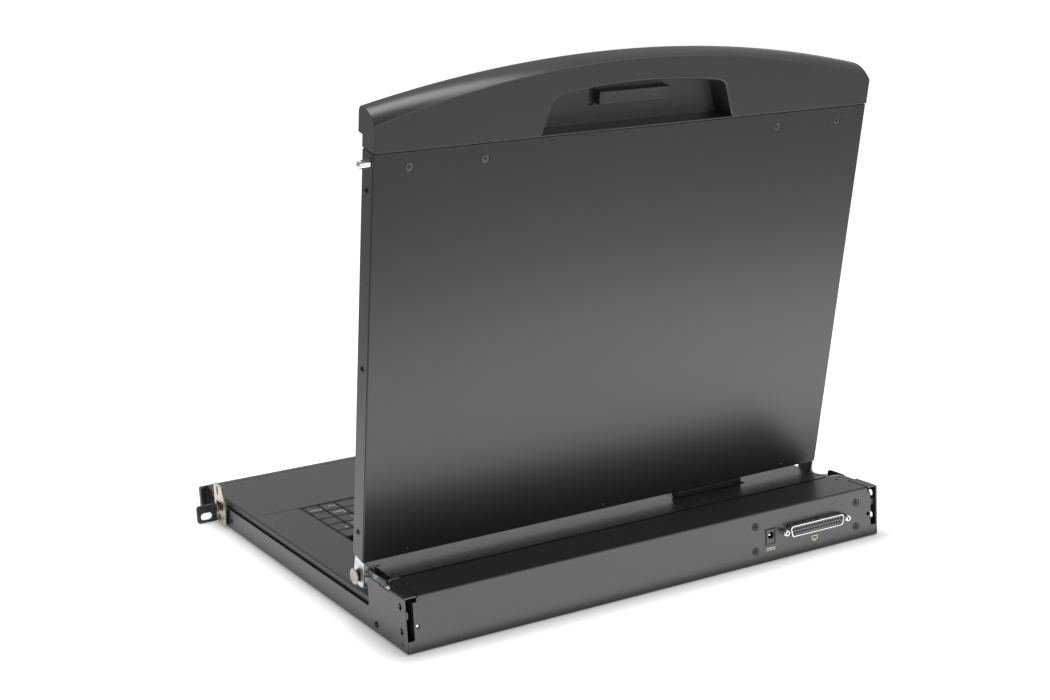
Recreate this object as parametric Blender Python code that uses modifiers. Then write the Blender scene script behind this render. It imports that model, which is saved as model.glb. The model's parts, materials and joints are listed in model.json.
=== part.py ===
"""Rack console drawer (KVM switch console): a one-unit 19-inch chassis with a sliding keyboard tray and a lid
that holds the display. Lengths below are in millimetres and are scaled to metres when each mesh is made.

Frame: +X is the seated user's right, -Y is the front of the rack, +Z is up. The underside is at z = 0.
Lengths along Y are counted from the rear face and moved by REAR_FACE_Y. Lid parts are drawn in the lid's own
axes: x as in the frame, n out of the lid's back, l up the lid from the bottom edge of its back.
"""

import math

import bmesh
import bpy
from mathutils import Matrix, Vector

MM = 0.001
REAR_FACE_Y = 200.0
PLAY = 0.3

# Chassis
HALF_WIDTH = 221.0
SHEET = 1.2
HEIGHT = 43.5
LOW_WALL_TOP = 18.5
CHASSIS_FRONT = -390.0
PLATE_FRONT = -63.0
HOUSING_FRONT = -42.0
PANEL_HALF = 214.0
ROOF_HALF = 209.6
ROOF_UNDER = 42.5
ROOF_WING = 216.5
FOLD_FRONT = -24.0

# Rack ears: 19-inch rack, 465.1 mm between slots
EAR_EDGE = 241.3
EAR_SLOT_X = 232.55
EAR_SLOT_Z = 6.35
EAR_SLOT_LENGTH = 11.0
EAR_SLOT_RADIUS = 3.5
EAR_FRONT = -398.3
EAR_REAR = -396.3

# Rear connectors
JACK_X = -108.9
JACK_Z = 21.0
PORT_X = -152.6
PORT_Z = 23.0
PORT_SCREW_PITCH = 63.5

# Tray
DECK_TOP = 24.4
DECK_HALF = 218.5
DECK_FRONT = -426.7
DECK_REAR = -66.0
TRAY_HALF = 206.0
COVER_HALF = 203.5
COVER_FRONT = -101.5
COVER_REAR = -48.0
COVER_TOP = 42.2
BEZEL_FRONT = -435.5
BEZEL_HALF = 226.0

# Keyboard
KEY_UNIT = 15.5
KEY_ROW = 19.4
KEY_GAP = 1.0
KEYS_LEFT = -174.4
KEYS_FRONT = -307.5
EDIT_BLOCK = 15.25
NUMBER_PAD = 18.5
KEY_TOP = 24.2
WEB_UNDER = 20.4
WEB_TOP = 21.4
KEYWELL_HALF = 177.5
KEYWELL_FRONT = -311.0
KEYWELL_REAR = -180.0

# Lid
PIVOT = Vector((0.0, -89.8, 34.5))
LID_EDGE = Vector((0.0, -77.6, 47.2))
LID_LEAN = math.radians(12.7)
LID_HALF = 217.8
LID_LENGTH = 322.5
LID_SHEET = 1.2
SHELL_DEPTH = 17.0
LID_DEPTH = 18.6
SCREEN_HALF = 170.0
SCREEN_LOW = 31.0
SCREEN_HIGH = 302.0
OSD_KEYS = (-24.0, 0.0, 24.0)
PIVOT_N = -9.1
PIVOT_L = -15.1
PIN_N = -4.6
PIN_L = 315.0
PIN_TIP = 227.8

# Handle along the lid's top edge
HANDLE_HALF = 217.4
HANDLE_BACK = 1.0
HANDLE_FRONT = -25.6
HANDLE_LOW = 322.8
HANDLE_LIP = 331.8
HANDLE_PEAK = 376.9
FRONT_CURVE = 0.00054
BACK_CURVE = 0.00069
RECESS_FLOOR_N = -16.5

LID_AXES = Matrix.Translation(LID_EDGE) @ Matrix.Rotation(-LID_LEAN, 4, "X")
IDENTITY = Matrix.Identity(4)


def clear_scene():
    for old in list(bpy.data.objects):
        bpy.data.objects.remove(old)


def new_collection(name):
    collection = bpy.data.collections.new(name)
    bpy.context.scene.collection.children.link(collection)
    return collection


def material(name, colour, metallic, roughness, alpha=1.0):
    made = bpy.data.materials.new(name)
    made.use_nodes = True
    shader = made.node_tree.nodes["Principled BSDF"]
    shader.inputs["Base Color"].default_value = (*colour, 1.0)
    shader.inputs["Metallic"].default_value = metallic
    shader.inputs["Roughness"].default_value = roughness
    shader.inputs["Alpha"].default_value = alpha
    made.diffuse_color = (*colour, alpha)
    return made


# ---------------------------------------------------------------- outlines and prisms

def rectangle(low, high):
    return [(low[0], low[1]), (high[0], low[1]), (high[0], high[1]), (low[0], high[1])]


def arc(centre, radius, start, end, steps):
    """Points on a circle from start to end, in degrees."""
    points = []
    for i in range(steps + 1):
        angle = math.radians(start + (end - start) * i / steps)
        points.append((centre[0] + radius * math.cos(angle), centre[1] + radius * math.sin(angle)))
    return points


def circle(centre, radius, steps=24):
    return arc(centre, radius, 0, 360, steps)[:-1]


def rounded(low, high, radius, steps=4):
    """Rectangle with round corners."""
    inner = [(high[0] - radius, high[1] - radius), (low[0] + radius, high[1] - radius),
             (low[0] + radius, low[1] + radius), (high[0] - radius, low[1] + radius)]
    points = []
    for i, centre in enumerate(inner):
        points += arc(centre, radius, 90 * i, 90 * i + 90, steps)
    return points


def slot(centre, length, radius, steps=8):
    """Obround along the first axis."""
    reach = length / 2 - radius
    right = arc((centre[0] + reach, centre[1]), radius, -90, 90, steps)
    left = arc((centre[0] - reach, centre[1]), radius, 90, 270, steps)
    return right + left


def mirrored(points):
    return [(-a, b) for a, b in reversed(points)]


def placed(axis, first, second, along):
    """The 3-D point of an outline's two values and its depth along the axis."""
    if axis == "X":
        return (along, first, second)
    if axis == "Y":
        return (first, along, second)
    return (first, second, along)


def prism(axis, outline, low, high):
    """A mesh: the outline run from low to high along the axis. Outlines are (y,z), (x,z) or (x,y)."""
    return loft([[placed(axis, a, b, along) for a, b in outline] for along in (low, high)])


def loft(sections):
    """A closed mesh through sections that have the same number of points."""
    mesh = bmesh.new()
    rings = [[mesh.verts.new(point) for point in section] for section in sections]
    count = len(rings[0])
    for low, high in zip(rings, rings[1:]):
        for i in range(count):
            j = (i + 1) % count
            mesh.faces.new((low[i], low[j], high[j], high[i]))
    mesh.faces.new(rings[0])
    mesh.faces.new(rings[-1])
    bmesh.ops.triangulate(mesh, faces=mesh.faces)
    bmesh.ops.recalc_face_normals(mesh, faces=mesh.faces)
    if mesh.calc_volume(signed=True) < 0:
        bmesh.ops.reverse_faces(mesh, faces=mesh.faces)
    return mesh


def box(x, y, z):
    return prism("Z", rectangle((x[0], y[0]), (x[1], y[1])), z[0], z[1])


def rod(axis, centre, radius, low, high, steps=24):
    return prism(axis, circle(centre, radius, steps), low, high)


def joined(meshes):
    """Separate closed meshes in one, so that they are joined to a node in one step."""
    whole = bmesh.new()
    for mesh in meshes:
        data = bpy.data.meshes.new("piece")
        mesh.to_mesh(data)
        mesh.free()
        whole.from_mesh(data)
        bpy.data.meshes.remove(data)
    return whole


# ---------------------------------------------------------------- nodes

def as_object(name, mesh):
    data = bpy.data.meshes.new(name)
    mesh.to_mesh(data)
    mesh.free()
    made = bpy.data.objects.new(name, data)
    parts.objects.link(made)
    return made


def combine(target, tool, operation):
    """Join the tool to the target, or cut it away, and drop the tool."""
    other = as_object("tool", tool)
    step = target.modifiers.new("combine", "BOOLEAN")
    step.operation = operation
    step.solver = "EXACT"
    step.use_self = True
    step.object = other
    bpy.context.view_layer.update()
    evaluated = target.evaluated_get(bpy.context.evaluated_depsgraph_get())
    result = bpy.data.meshes.new_from_object(evaluated)
    target.modifiers.clear()
    target.data = result
    bpy.data.objects.remove(other)


def bevelled(target, width, angle=40):
    step = target.modifiers.new("edges", "BEVEL")
    step.width = width * MM
    step.segments = 1
    step.limit_method = "ANGLE"
    step.angle_limit = math.radians(angle)
    step.use_clamp_overlap = True


def node(name, look, base, add=(), cut=(), axes=IDENTITY, origin=(0, 0, 0), bevel=0.0):
    """One named part: base mesh, meshes joined to it, meshes cut from it, then its place in the frame."""
    target = as_object(name, base)
    for mesh in add:
        combine(target, mesh, "UNION")
    for mesh in cut:
        combine(target, mesh, "DIFFERENCE")
    to_frame = Matrix.Translation((0, REAR_FACE_Y, 0)) @ axes
    centre = Vector(origin) + Vector((0, REAR_FACE_Y, 0))
    target.data.transform(Matrix.Scale(MM, 4) @ Matrix.Translation(-centre) @ to_frame)
    target.location = centre * MM
    target.data.name = name
    target.data.materials.clear()
    target.data.materials.append(look)
    for face in target.data.polygons:
        face.use_smooth = False
    if bevel:
        bevelled(target, bevel)
    return target


def pair(name, side):
    return f"{name}_{'right' if side > 0 else 'left'}"


def span(side, near, far):
    """The x values of a piece between near and far from the centre plane, on one side."""
    return tuple(sorted((side * near, side * far)))


# ---------------------------------------------------------------- chassis

def side_plate_outline():
    return [(CHASSIS_FRONT, 0), (0, 0), (0, HEIGHT), (FOLD_FRONT, HEIGHT), (FOLD_FRONT - 0.6, 41.6),
            (-41.2, 41.6), (-42.0, 42.6), (-59.8, 42.6), (-62.2, 41.6), (PLATE_FRONT, 39.2),
            (PLATE_FRONT, 21.0), (PLATE_FRONT - 2.5, LOW_WALL_TOP), (CHASSIS_FRONT, LOW_WALL_TOP)]


def build_chassis():
    floor = box((-HALF_WIDTH, HALF_WIDTH), (CHASSIS_FRONT, -1.5), (0, SHEET))
    joins = []
    cuts = []
    for side in (-1, 1):
        wall = span(side, HALF_WIDTH - SHEET, HALF_WIDTH)
        fold = span(side, ROOF_HALF + 1.3, HALF_WIDTH - 0.6)
        joins.append(prism("X", side_plate_outline(), *wall))
        joins.append(box(fold, (FOLD_FRONT, 0), (HEIGHT - SHEET, HEIGHT)))
        for y, z, radius in ((-7.0, 35.3, 2.7), (-7.0, 16.1, 2.7), (-6.6, 6.3, 1.2)):
            cuts.append(rod("X", (y, z), radius, wall[0] - 1, wall[1] + 1, 16))
    node("chassis_pan", black_steel, floor, joins, cuts)


def build_housing():
    strip = HALF_WIDTH - SHEET - PLAY
    half = [(strip, 0), (strip, 9.4), (PANEL_HALF, 9.4), (PANEL_HALF, 38.6), (ROOF_HALF + 1.3, 38.6),
            (ROOF_HALF + 1.3, 41.9), (ROOF_HALF - 0.3, 41.9), (ROOF_HALF - 0.3, HEIGHT - 0.3)]
    panel = prism("Y", half + mirrored(half), -SHEET, 0)
    cheek = ROOF_HALF - 1.0
    hood = [(cheek, 1.5), (ROOF_HALF, 1.5), (ROOF_HALF, HEIGHT), (-ROOF_HALF, HEIGHT), (-ROOF_HALF, 1.5),
            (-cheek, 1.5), (-cheek, ROOF_UNDER), (cheek, ROOF_UNDER)]
    joins = [prism("Y", hood, HOUSING_FRONT, -0.3)]
    for side in (-1, 1):
        wing = span(side, cheek + 0.4, ROOF_WING)
        joins.append(box(wing, (HOUSING_FRONT, FOLD_FRONT - 0.8), (ROOF_UNDER, HEIGHT)))
        joins.append(box(span(side, PANEL_HALF - 0.8, PANEL_HALF), (-7.5, -0.3), (9.8, 38.2)))
    cuts = [prism("Y", d_outline(56.2, 10.6), -3, 2),
            prism("Y", rectangle((JACK_X - 5.3, JACK_Z - 7.2), (JACK_X + 5.3, JACK_Z + 7.2)), -3, 2)]
    for x in (PORT_X - PORT_SCREW_PITCH / 2, PORT_X + PORT_SCREW_PITCH / 2):
        cuts.append(rod("Y", (x, PORT_Z), 1.6, -3, 2, 12))
    node("rear_housing", black_steel, panel, joins, cuts)


def d_outline(width, height):
    """Outline of the rear port: a trapezoid with round corners, wider at the top."""
    half = width / 2
    slope = 0.9
    corner = 2.2
    low = PORT_Z - height / 2
    high = PORT_Z + height / 2
    points = arc((PORT_X + half - corner, high - corner), corner, 0, 90, 3)
    points += arc((PORT_X - half + corner, high - corner), corner, 90, 180, 3)
    points += arc((PORT_X - half + corner + slope, low + corner), corner, 190, 270, 3)
    points += arc((PORT_X + half - corner - slope, low + corner), corner, 270, 350, 3)
    return points


def build_rear_connectors():
    body = box((JACK_X - 5, JACK_X + 5), (-13, 1.0), (JACK_Z - 6.85, JACK_Z + 6.85))
    node("dc_inlet_body", black_plastic, body, cut=[rod("Y", (JACK_X, JACK_Z), 3.1, -9, 3, 24)])
    node("dc_inlet_pin", nickel, rod("Y", (JACK_X, JACK_Z), 1.0, -8.7, -0.5, 12))
    plate = rounded((PORT_X - 34.7, PORT_Z - 6.2), (PORT_X + 34.7, PORT_Z + 6.2), 1.6, 3)
    behind = -SHEET - PLAY
    flange = prism("Y", plate, behind - 0.8, behind)
    ring = prism("Y", d_outline(55.4, 9.8), behind - 0.4, 6.3)
    cuts = [prism("Y", d_outline(54.2, 8.6), -4, 8)]
    for end in (-1, 1):
        cuts.append(rod("Y", (PORT_X + end * PORT_SCREW_PITCH / 2, PORT_Z), 1.6, -4, 0, 12))
    node("rear_port_shell", nickel, flange, [ring], cuts)
    node("rear_port_insert", dark_insert, prism("Y", d_outline(53.4, 7.8), -5, 5.7))
    for end, name in ((-1, "rear_port_jackscrew_a"), (1, "rear_port_jackscrew_b")):
        centre = (PORT_X + end * PORT_SCREW_PITCH / 2, PORT_Z)
        node(name, nickel, rod("Y", centre, 2.6, PLAY, 7.4, 12), [rod("Y", centre, 1.2, -4, 2, 12)],
             [rod("Y", centre, 1.2, 3.5, 8, 12)])
    node("interface_board", board_green, box((-200, -60), (-39, -6), (6, 7.6)))


def bracket_outline():
    return [(-395.8, 2.6), (-370.5, 2.6), (-367.6, 21.7), (-374.6, 37.0), (-377.0, 38.4), (-391.5, 38.4),
            (-394.6, 36.0)]


def build_front_fittings():
    for side in (-1, 1):
        plate = span(side, 222.8, 224.0)
        through = (plate[0] - 1, plate[1] + 1)
        cuts = [prism("X", rounded((-387.4, 27.4), (-383.6, 36.2), 1.5, 3), *through),
                prism("X", rounded((-390.5, 14.6), (-373.4, 22.4), 1.0, 2), *through),
                rod("X", (-384.5, 8.4), 2.5, *through, 16)]
        node(pair("front_bracket", side), zinc, prism("X", bracket_outline(), *plate), cut=cuts)
        ear = rounded((222.0, 0.5), (EAR_EDGE, 17.0), 2.5, 4)
        leg = box(span(side, 221.3, 222.5), (EAR_FRONT + 0.4, -374), (1.6, 16.4))
        hole = slot((EAR_SLOT_X, EAR_SLOT_Z), EAR_SLOT_LENGTH, EAR_SLOT_RADIUS)
        if side < 0:
            ear = mirrored(ear)
            hole = mirrored(hole)
        node(pair("rack_ear", side), black_steel, prism("Y", ear, EAR_FRONT, EAR_REAR), [leg],
             [prism("Y", hole, EAR_FRONT - 1, EAR_REAR + 1)])


def channel(x, z, y, sheet=1.0):
    """C-section rail that opens toward the centre plane: x is (mouth, back)."""
    opening = 1 if x[1] > x[0] else -1
    inner = x[1] - opening * sheet
    outline = [(x[0], z[0]), (x[1], z[0]), (x[1], z[1]), (x[0], z[1]), (x[0], z[1] - sheet),
               (inner, z[1] - sheet), (inner, z[0] + sheet), (x[0], z[0] + sheet)]
    return prism("Y", outline, *y)


def build_slides():
    for side in (-1, 1):
        outer = channel((side * 213.4, side * 219.5), (2.6, 15.6), (-386, -66))
        node(pair("slide_outer", side), zinc, outer)
        middle = channel((side * 212.4, side * 218.1), (4.0, 14.2), (-384, -68))
        node(pair("slide_middle", side), zinc, middle)
        plate = box(span(side, 215.4, 216.7), (-404, -75), (5.6, 12.6))
        spacer = box(span(side, TRAY_HALF + PLAY, 215.8), (-404, -75), (7.4, 10.8))
        node(pair("slide_inner", side), zinc, plate, [spacer])


# ---------------------------------------------------------------- tray

def build_tray():
    floor = box((-TRAY_HALF, TRAY_HALF), (DECK_FRONT + 0.7, -48), (2.2, 3.2))
    joins = []
    for side in (-1, 1):
        joins.append(box(span(side, TRAY_HALF - 1, TRAY_HALF), (DECK_FRONT + 0.7, -48), (2.2, 23.0)))
    for y in (DECK_FRONT + 0.7, -49):
        joins.append(box((-TRAY_HALF, TRAY_HALF), (y, y + 1), (2.2, 23.0)))
    node("tray_pan", black_steel, floor, joins)
    build_deck()
    build_hinge_cover()
    build_front_bezel()


def build_deck():
    top = box((-DECK_HALF, DECK_HALF), (DECK_FRONT, DECK_REAR), (DECK_TOP - 1, DECK_TOP))
    joins = []
    for side in (-1, 1):
        lip = span(side, DECK_HALF - 1, DECK_HALF)
        joins.append(box(lip, (DECK_FRONT, DECK_REAR), (19.0, DECK_TOP - 0.4)))
    well = rounded((-KEYWELL_HALF, KEYWELL_FRONT), (KEYWELL_HALF, KEYWELL_REAR), 2.0, 2)
    cuts = [prism("Z", well, 20, 26), prism("Z", rounded((-37, -409), (37, -353), 2.0, 2), 20, 26),
            box((-37, 37), (-350, -335), (20, 26))]
    node("keyboard_deck", black_steel, top, joins, cuts, bevel=0.35)


def build_hinge_cover():
    roof = box((-COVER_HALF, COVER_HALF), (COVER_FRONT, COVER_REAR), (COVER_TOP - 1, COVER_TOP))
    joins = [box((-COVER_HALF, COVER_HALF), (COVER_FRONT, COVER_FRONT + 1), (24.7, COVER_TOP - 0.4))]
    for side in (-1, 1):
        joins.append(box(span(side, COVER_HALF - 1, COVER_HALF), (COVER_FRONT, COVER_REAR - 0.6),
                         (24.7, COVER_TOP - 0.4)))
    cable_way = box((-142, -68), (COVER_FRONT - 1, -76), (33.0, COVER_TOP + 1))
    node("hinge_cover", black_steel, roof, joins, [cable_way], bevel=0.3)


def build_front_bezel():
    front = [(BEZEL_HALF - 3.5, BEZEL_FRONT)] + arc((BEZEL_HALF - 3.5, BEZEL_FRONT + 3.5), 3.5, -60, 0, 3)
    back = [(BEZEL_HALF, -428.0), (223.4, -428.6), (221.2, -430.2), (219.6, -432.0), (217.0, -432.0),
            (217.0, -427.0)]
    half = front + back
    outline = half + mirrored(half)
    node("tray_front_bezel", grey_plastic, prism("Z", outline, 2.0, DECK_TOP), bevel=0.8)


def build_keyboard():
    half = KEYWELL_HALF - 0.5
    base = box((-half, half), (KEYWELL_FRONT + 0.5, KEYWELL_REAR - 0.5), (14.6, 17.6))
    node("keyboard_base", key_black, base)
    for name, row, keys in key_rows():
        node(name, key_black, *key_bar(name, row, keys))


def key_rows():
    """Key bars as (name, row from the front, [(left edge, width) in key units])."""
    def run(start, *widths):
        keys = []
        for width in widths:
            keys.append((start, width))
            start += width
        return keys

    return [
        ("keys_bottom_left", 0, run(0, 1.25, 1.25, 1.25)),
        ("keys_space", 0, run(3.75, 6.25)),
        ("keys_bottom_right", 0, run(10, 1.25, 1.25, 1.25, 1.25)),
        ("keys_shift_row", 1, run(0, 2.25, *[1] * 10, 2.75)),
        ("keys_home_row", 2, run(0, 1.75, *[1] * 11, 2.25)),
        ("keys_upper_row", 3, run(0, 1.5, *[1] * 12, 1.5)),
        ("keys_number_row", 4, run(0, *[1] * 13, 2)),
        ("keys_function_row", 5.25, run(0, 1, 1.0, *[1.083] * 12)),
        ("keys_arrows", 0, run(EDIT_BLOCK, 1, 1, 1)),
        ("keys_edit_block", 3, run(EDIT_BLOCK, 1, 1, 1)),
        ("keys_pad_front", 0, run(NUMBER_PAD, 2, 1, 1)),
        ("keys_pad_rear", 2, run(NUMBER_PAD, 1, 1, 1, 1)),
    ]


def further_rows(name):
    """The rows behind the first one, in the blocks that are more than one key deep."""
    full_pad = [(NUMBER_PAD + i, 1) for i in range(4)]
    edit = [(EDIT_BLOCK + i, 1) for i in range(3)]
    return {
        "keys_arrows": [(1, edit[1:2])],
        "keys_edit_block": [(4, edit)],
        "keys_pad_front": [(1, full_pad)],
        "keys_pad_rear": [(3, full_pad), (4, full_pad)],
    }.get(name, [])


def key_cap(left, row, width):
    """A tapered cap over its place in the key grid."""
    x = (KEYS_LEFT + left * KEY_UNIT, KEYS_LEFT + (left + width) * KEY_UNIT - KEY_GAP)
    y = (KEYS_FRONT + row * KEY_ROW, KEYS_FRONT + (row + 1) * KEY_ROW - KEY_GAP)
    if row > 5:
        y = (y[0], y[1] - 3.4)
    sections = []
    for inset, z in ((0.0, WEB_UNDER), (0.0, 22.4), (1.1, KEY_TOP - 0.3), (1.6, KEY_TOP)):
        corners = rectangle((x[0] + inset, y[0] + inset), (x[1] - inset, y[1] - inset))
        sections.append([(a, b, z) for a, b in corners])
    return loft(sections)


def key_bar(name, row, keys):
    """The caps of one bar and the thin web that joins them: (first cap, the rest)."""
    rows = [(row, keys)] + further_rows(name)
    caps = [key_cap(left, place, width) for place, members in rows for left, width in members]
    webs = []
    for place, members in rows:
        y = KEYS_FRONT + place * KEY_ROW + 4
        x = (KEYS_LEFT + members[0][0] * KEY_UNIT + 2, KEYS_LEFT + sum(members[-1]) * KEY_UNIT - 3)
        webs.append(box(x, (y, y + 8), (WEB_UNDER + 0.1, WEB_TOP)))
    if len(rows) > 1:
        x = KEYS_LEFT + rows[1][1][0][0] * KEY_UNIT + 4
        y = KEYS_FRONT + row * KEY_ROW + 5
        webs.append(box((x, x + 6), (y, y + (len(rows) - 1) * KEY_ROW + 5), (WEB_UNDER + 0.1, WEB_TOP)))
    first = caps.pop(0)
    return first, [joined(caps), *webs] if caps else []


def build_touchpad():
    pad = prism("Z", rounded((-36.5, -408.5), (36.5, -353.5), 1.8, 2), 21.8, 24.0)
    node("touchpad", touch_grey, pad, bevel=0.3)
    for side in (-1, 1):
        cap = box(span(side, 0.4, 36.5), (-349.5, -335.5), (20.6, 24.1))
        node(pair("touchpad_button", side), touch_grey, cap, bevel=0.4)


def hinge_base_outline():
    """Hinge base in (y, z): a foot, a round ear about the pivot and an arm that runs back under the roof."""
    ear = arc((PIVOT.y, PIVOT.z), 5.4, 43, 180, 8)
    return [(-98, 24.8), (-66, 24.8), (-66, 33.0), (-47.5, 33.0), (-47.5, 38.2), *ear, (-98, 31.0)]


def build_hinges():
    for side in (-1, 1):
        upright = prism("X", hinge_base_outline(), *span(side, 208.8, 210.0))
        ledge = [(side * 209.4, -60), (side * 212.0, -60), (side * 216.6, -52), (side * 216.6, -47.5),
                 (side * 209.4, -47.5)]
        foot = box(span(side, 204.2, 209.4), (-98, -68), (24.8, 26.0))
        bore = rod("X", (PIVOT.y, PIVOT.z), 3.2, *span(side, 207, 212), 24)
        node(pair("hinge_base", side), zinc, upright, [prism("Z", ledge, 37.0, 38.2), foot], [bore])
        shaft = rod("X", (PIVOT.y, PIVOT.z), 3.0, *span(side, 206.6, 219.0), 24)
        head = rod("X", (PIVOT.y, PIVOT.z), 4.6, *span(side, 205.4, 208.4), 24)
        node(pair("hinge_pin", side), brass_zinc, shaft, [head])
        disc = rod("X", (PIVOT.y, PIVOT.z), 6.3, *span(side, 219.3, 221.0), 32)
        collar = rod("X", (PIVOT.y, PIVOT.z), 4.8, *span(side, 216.8, 219.8), 6)
        clear = rod("X", (PIVOT.y, PIVOT.z), 3.2, *span(side, 216, 219.2), 24)
        node(pair("friction_nut", side), cream_nylon, disc, [collar], [clear])


# ---------------------------------------------------------------- lid

def lid_box(x, n, l):
    return prism("Z", rectangle((x[0], n[0]), (x[1], n[1])), l[0], l[1])


def lid_node(name, look, base, add=(), cut=(), bevel=0.0, origin=PIVOT):
    return node(name, look, base, add, cut, LID_AXES, origin, bevel)


def build_lid_shell():
    outer = lid_box((-LID_HALF, LID_HALF), (-SHELL_DEPTH, 0), (0, LID_LENGTH))
    inner = lid_box((-LID_HALF + LID_SHEET, LID_HALF - LID_SHEET), (-SHELL_DEPTH - 1, -LID_SHEET),
                    (LID_SHEET, LID_LENGTH - LID_SHEET))
    cuts = [inner]
    for side in (-1, 1):
        cuts.append(lid_box(span(side, 214.4, 216.55), (-SHELL_DEPTH - 1, -1.15), (-1, 2)))
    cuts.append(rod("X", (PIN_N, PIN_L), 3.3, 215, 219, 20))
    lid_node("lid_shell", black_steel, outer, cut=cuts, bevel=0.35)
    frame = lid_box((-216.3, 216.3), (-LID_DEPTH, -17.3), (1.6, LID_LENGTH - 1.7))
    window = lid_box((-SCREEN_HALF, SCREEN_HALF), (-LID_DEPTH - 1, -16), (SCREEN_LOW, SCREEN_HIGH))
    keys = [lid_box((x - 4.3, x + 4.3), (-LID_DEPTH - 1, -16), (10.7, 17.3)) for x in OSD_KEYS]
    lid_node("lid_bezel", grey_plastic, frame, cut=[window, *keys], bevel=0.3)
    lid_node("display_panel", panel_black, lid_box((-178, 178), (-14.0, -5.6), (23, 310)))
    glass = lid_box((-SCREEN_HALF - 3, SCREEN_HALF + 3), (-17.0, -14.3), (SCREEN_LOW - 3, SCREEN_HIGH + 3))
    lid_node("display_glass", screen_glass, glass)
    lid_node("display_board", board_green, lid_box((-60, 60), (-4.6, -3.0), (120, 190)))


def build_osd_keys():
    for i, x in enumerate(OSD_KEYS):
        centre = LID_AXES @ Vector((x, -LID_DEPTH, 14))
        cap = lid_box((x - 4, x + 4), (-LID_DEPTH + 0.1, -16.4), (11, 17))
        lid_node(f"display_key_{i + 1}", touch_grey, cap, bevel=0.25, origin=centre)


def handle_section(x):
    """Section of the handle at x, as (x, n, l) points: its top rolls down to the back, most at the ends."""
    top = HANDLE_PEAK - FRONT_CURVE * x * x
    crest = HANDLE_PEAK - 1.3 - BACK_CURVE * x * x
    rise = top - crest
    front = HANDLE_FRONT
    points = [(-LID_DEPTH, HANDLE_LOW), (-LID_DEPTH, HANDLE_LIP), (front, HANDLE_LIP), (front, top - 4.5),
              (front + 1.3, top - 1.3), (front + 4.5, top)]
    for share in (0.4, 0.62, 0.8, 0.92):
        points.append((front + 4.5 + (HANDLE_BACK - front - 4.5) * share, top - rise * share ** 2.4))
    points += [(HANDLE_BACK, crest - 0.6), (HANDLE_BACK, HANDLE_LOW + 0.8), (HANDLE_BACK - 0.8, HANDLE_LOW)]
    return [(x, n, l) for n, l in points]


def recess_section(n, grow, rise):
    """Outline of the finger recess at depth n, wider at the mouth."""
    half = [(84.0 + grow, 323.9), (75.5 + grow, 348.0 + rise), (73.0 + grow, 350.9 + rise),
            (68.0 + grow, 353.0 + rise), (40.0, 356.2 + rise), (14.0, 357.8 + rise)]
    outline = half + mirrored(half)
    return [(x, n, l) for x, l in outline]


def build_handle():
    stations = [-HANDLE_HALF, *[-200 + 20 * i for i in range(21)], HANDLE_HALF]
    body = loft([handle_section(x) for x in stations])
    recess = loft([recess_section(RECESS_FLOOR_N, -4.0, -1.2), recess_section(HANDLE_BACK - 1.5, 0.0, 0.0),
                   recess_section(HANDLE_BACK + 2.5, 2.2, 2.2)])
    lid_node("lid_handle", satin_plastic, body, cut=[recess])


def build_latch():
    bar = lid_box((-31, 31), (RECESS_FLOOR_N + PLAY, -9.5), (339.0, 349.5))
    lid_node("latch_bar", black_plastic, bar, bevel=0.7, origin=LID_AXES @ Vector((0, -12, 344)))
    shank = rod("X", (PIN_N, PIN_L), 3.0, 196, PIN_TIP - 2.0, 20)
    tip = []
    for back, radius in ((2.5, 3.0), (1.2, 2.6), (0.4, 1.9), (0.0, 1.0)):
        tip.append([placed("X", a, b, PIN_TIP - back) for a, b in circle((PIN_N, PIN_L), radius, 20)])
    lid_node("latch_pin", nickel, shank, [loft(tip)], origin=LID_AXES @ Vector((LID_HALF, PIN_N, PIN_L)))


def arm_outline():
    """Hinge arm in (n, l): a plate in the lid with a round end about the pivot."""
    heel = arc((PIVOT_N, PIVOT_L), 8.8, 180, 270, 6)
    return [(-1.6, 44), (-16.2, 44), (-16.4, -2.0), *heel, (-2.6, -22.6), (-1.0, -21.2), (-0.4, -1.0),
            (-1.6, -0.3)]


def build_hinge_arms():
    for side in (-1, 1):
        bore = rod("X", (PIVOT_N, PIVOT_L), 3.2, *span(side, 213, 218), 24)
        plate = prism("X", arm_outline(), *span(side, 214.8, 216.3))
        lid_node(pair("hinge_arm", side), zinc, plate, cut=[bore])


def build_cable_shroud():
    outline = [(-9.0, -0.3), (-9.0, -4.5), (-7.6, -7.2), (-5.6, -8.3), (-2.4, -8.3), (-0.8, -7.2),
               (-0.3, -5.6), (-0.3, -0.3)]
    lid_node("cable_shroud", black_plastic, prism("X", outline, -138, -72))


clear_scene()
parts = new_collection("rack_console_drawer")
black_steel = material("black_steel", (0.045, 0.046, 0.048), 0.1, 0.45)
zinc = material("zinc", (0.72, 0.75, 0.78), 1.0, 0.3)
brass_zinc = material("brass_zinc", (0.74, 0.66, 0.45), 1.0, 0.35)
nickel = material("nickel", (0.78, 0.77, 0.73), 1.0, 0.25)
black_plastic = material("black_plastic", (0.02, 0.02, 0.021), 0.0, 0.5)
grey_plastic = material("grey_plastic", (0.06, 0.06, 0.062), 0.0, 0.5)
satin_plastic = material("satin_plastic", (0.04, 0.041, 0.043), 0.0, 0.35)
dark_insert = material("dark_insert", (0.03, 0.03, 0.03), 0.0, 0.6)
key_black = material("key_black", (0.025, 0.025, 0.026), 0.0, 0.55)
touch_grey = material("touch_grey", (0.07, 0.07, 0.072), 0.0, 0.5)
cream_nylon = material("cream_nylon", (0.72, 0.66, 0.55), 0.0, 0.45)
panel_black = material("panel_black", (0.01, 0.01, 0.012), 0.0, 0.4)
screen_glass = material("screen_glass", (0.05, 0.06, 0.07), 0.0, 0.05, 0.35)
board_green = material("board_green", (0.03, 0.2, 0.09), 0.0, 0.5)

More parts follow.
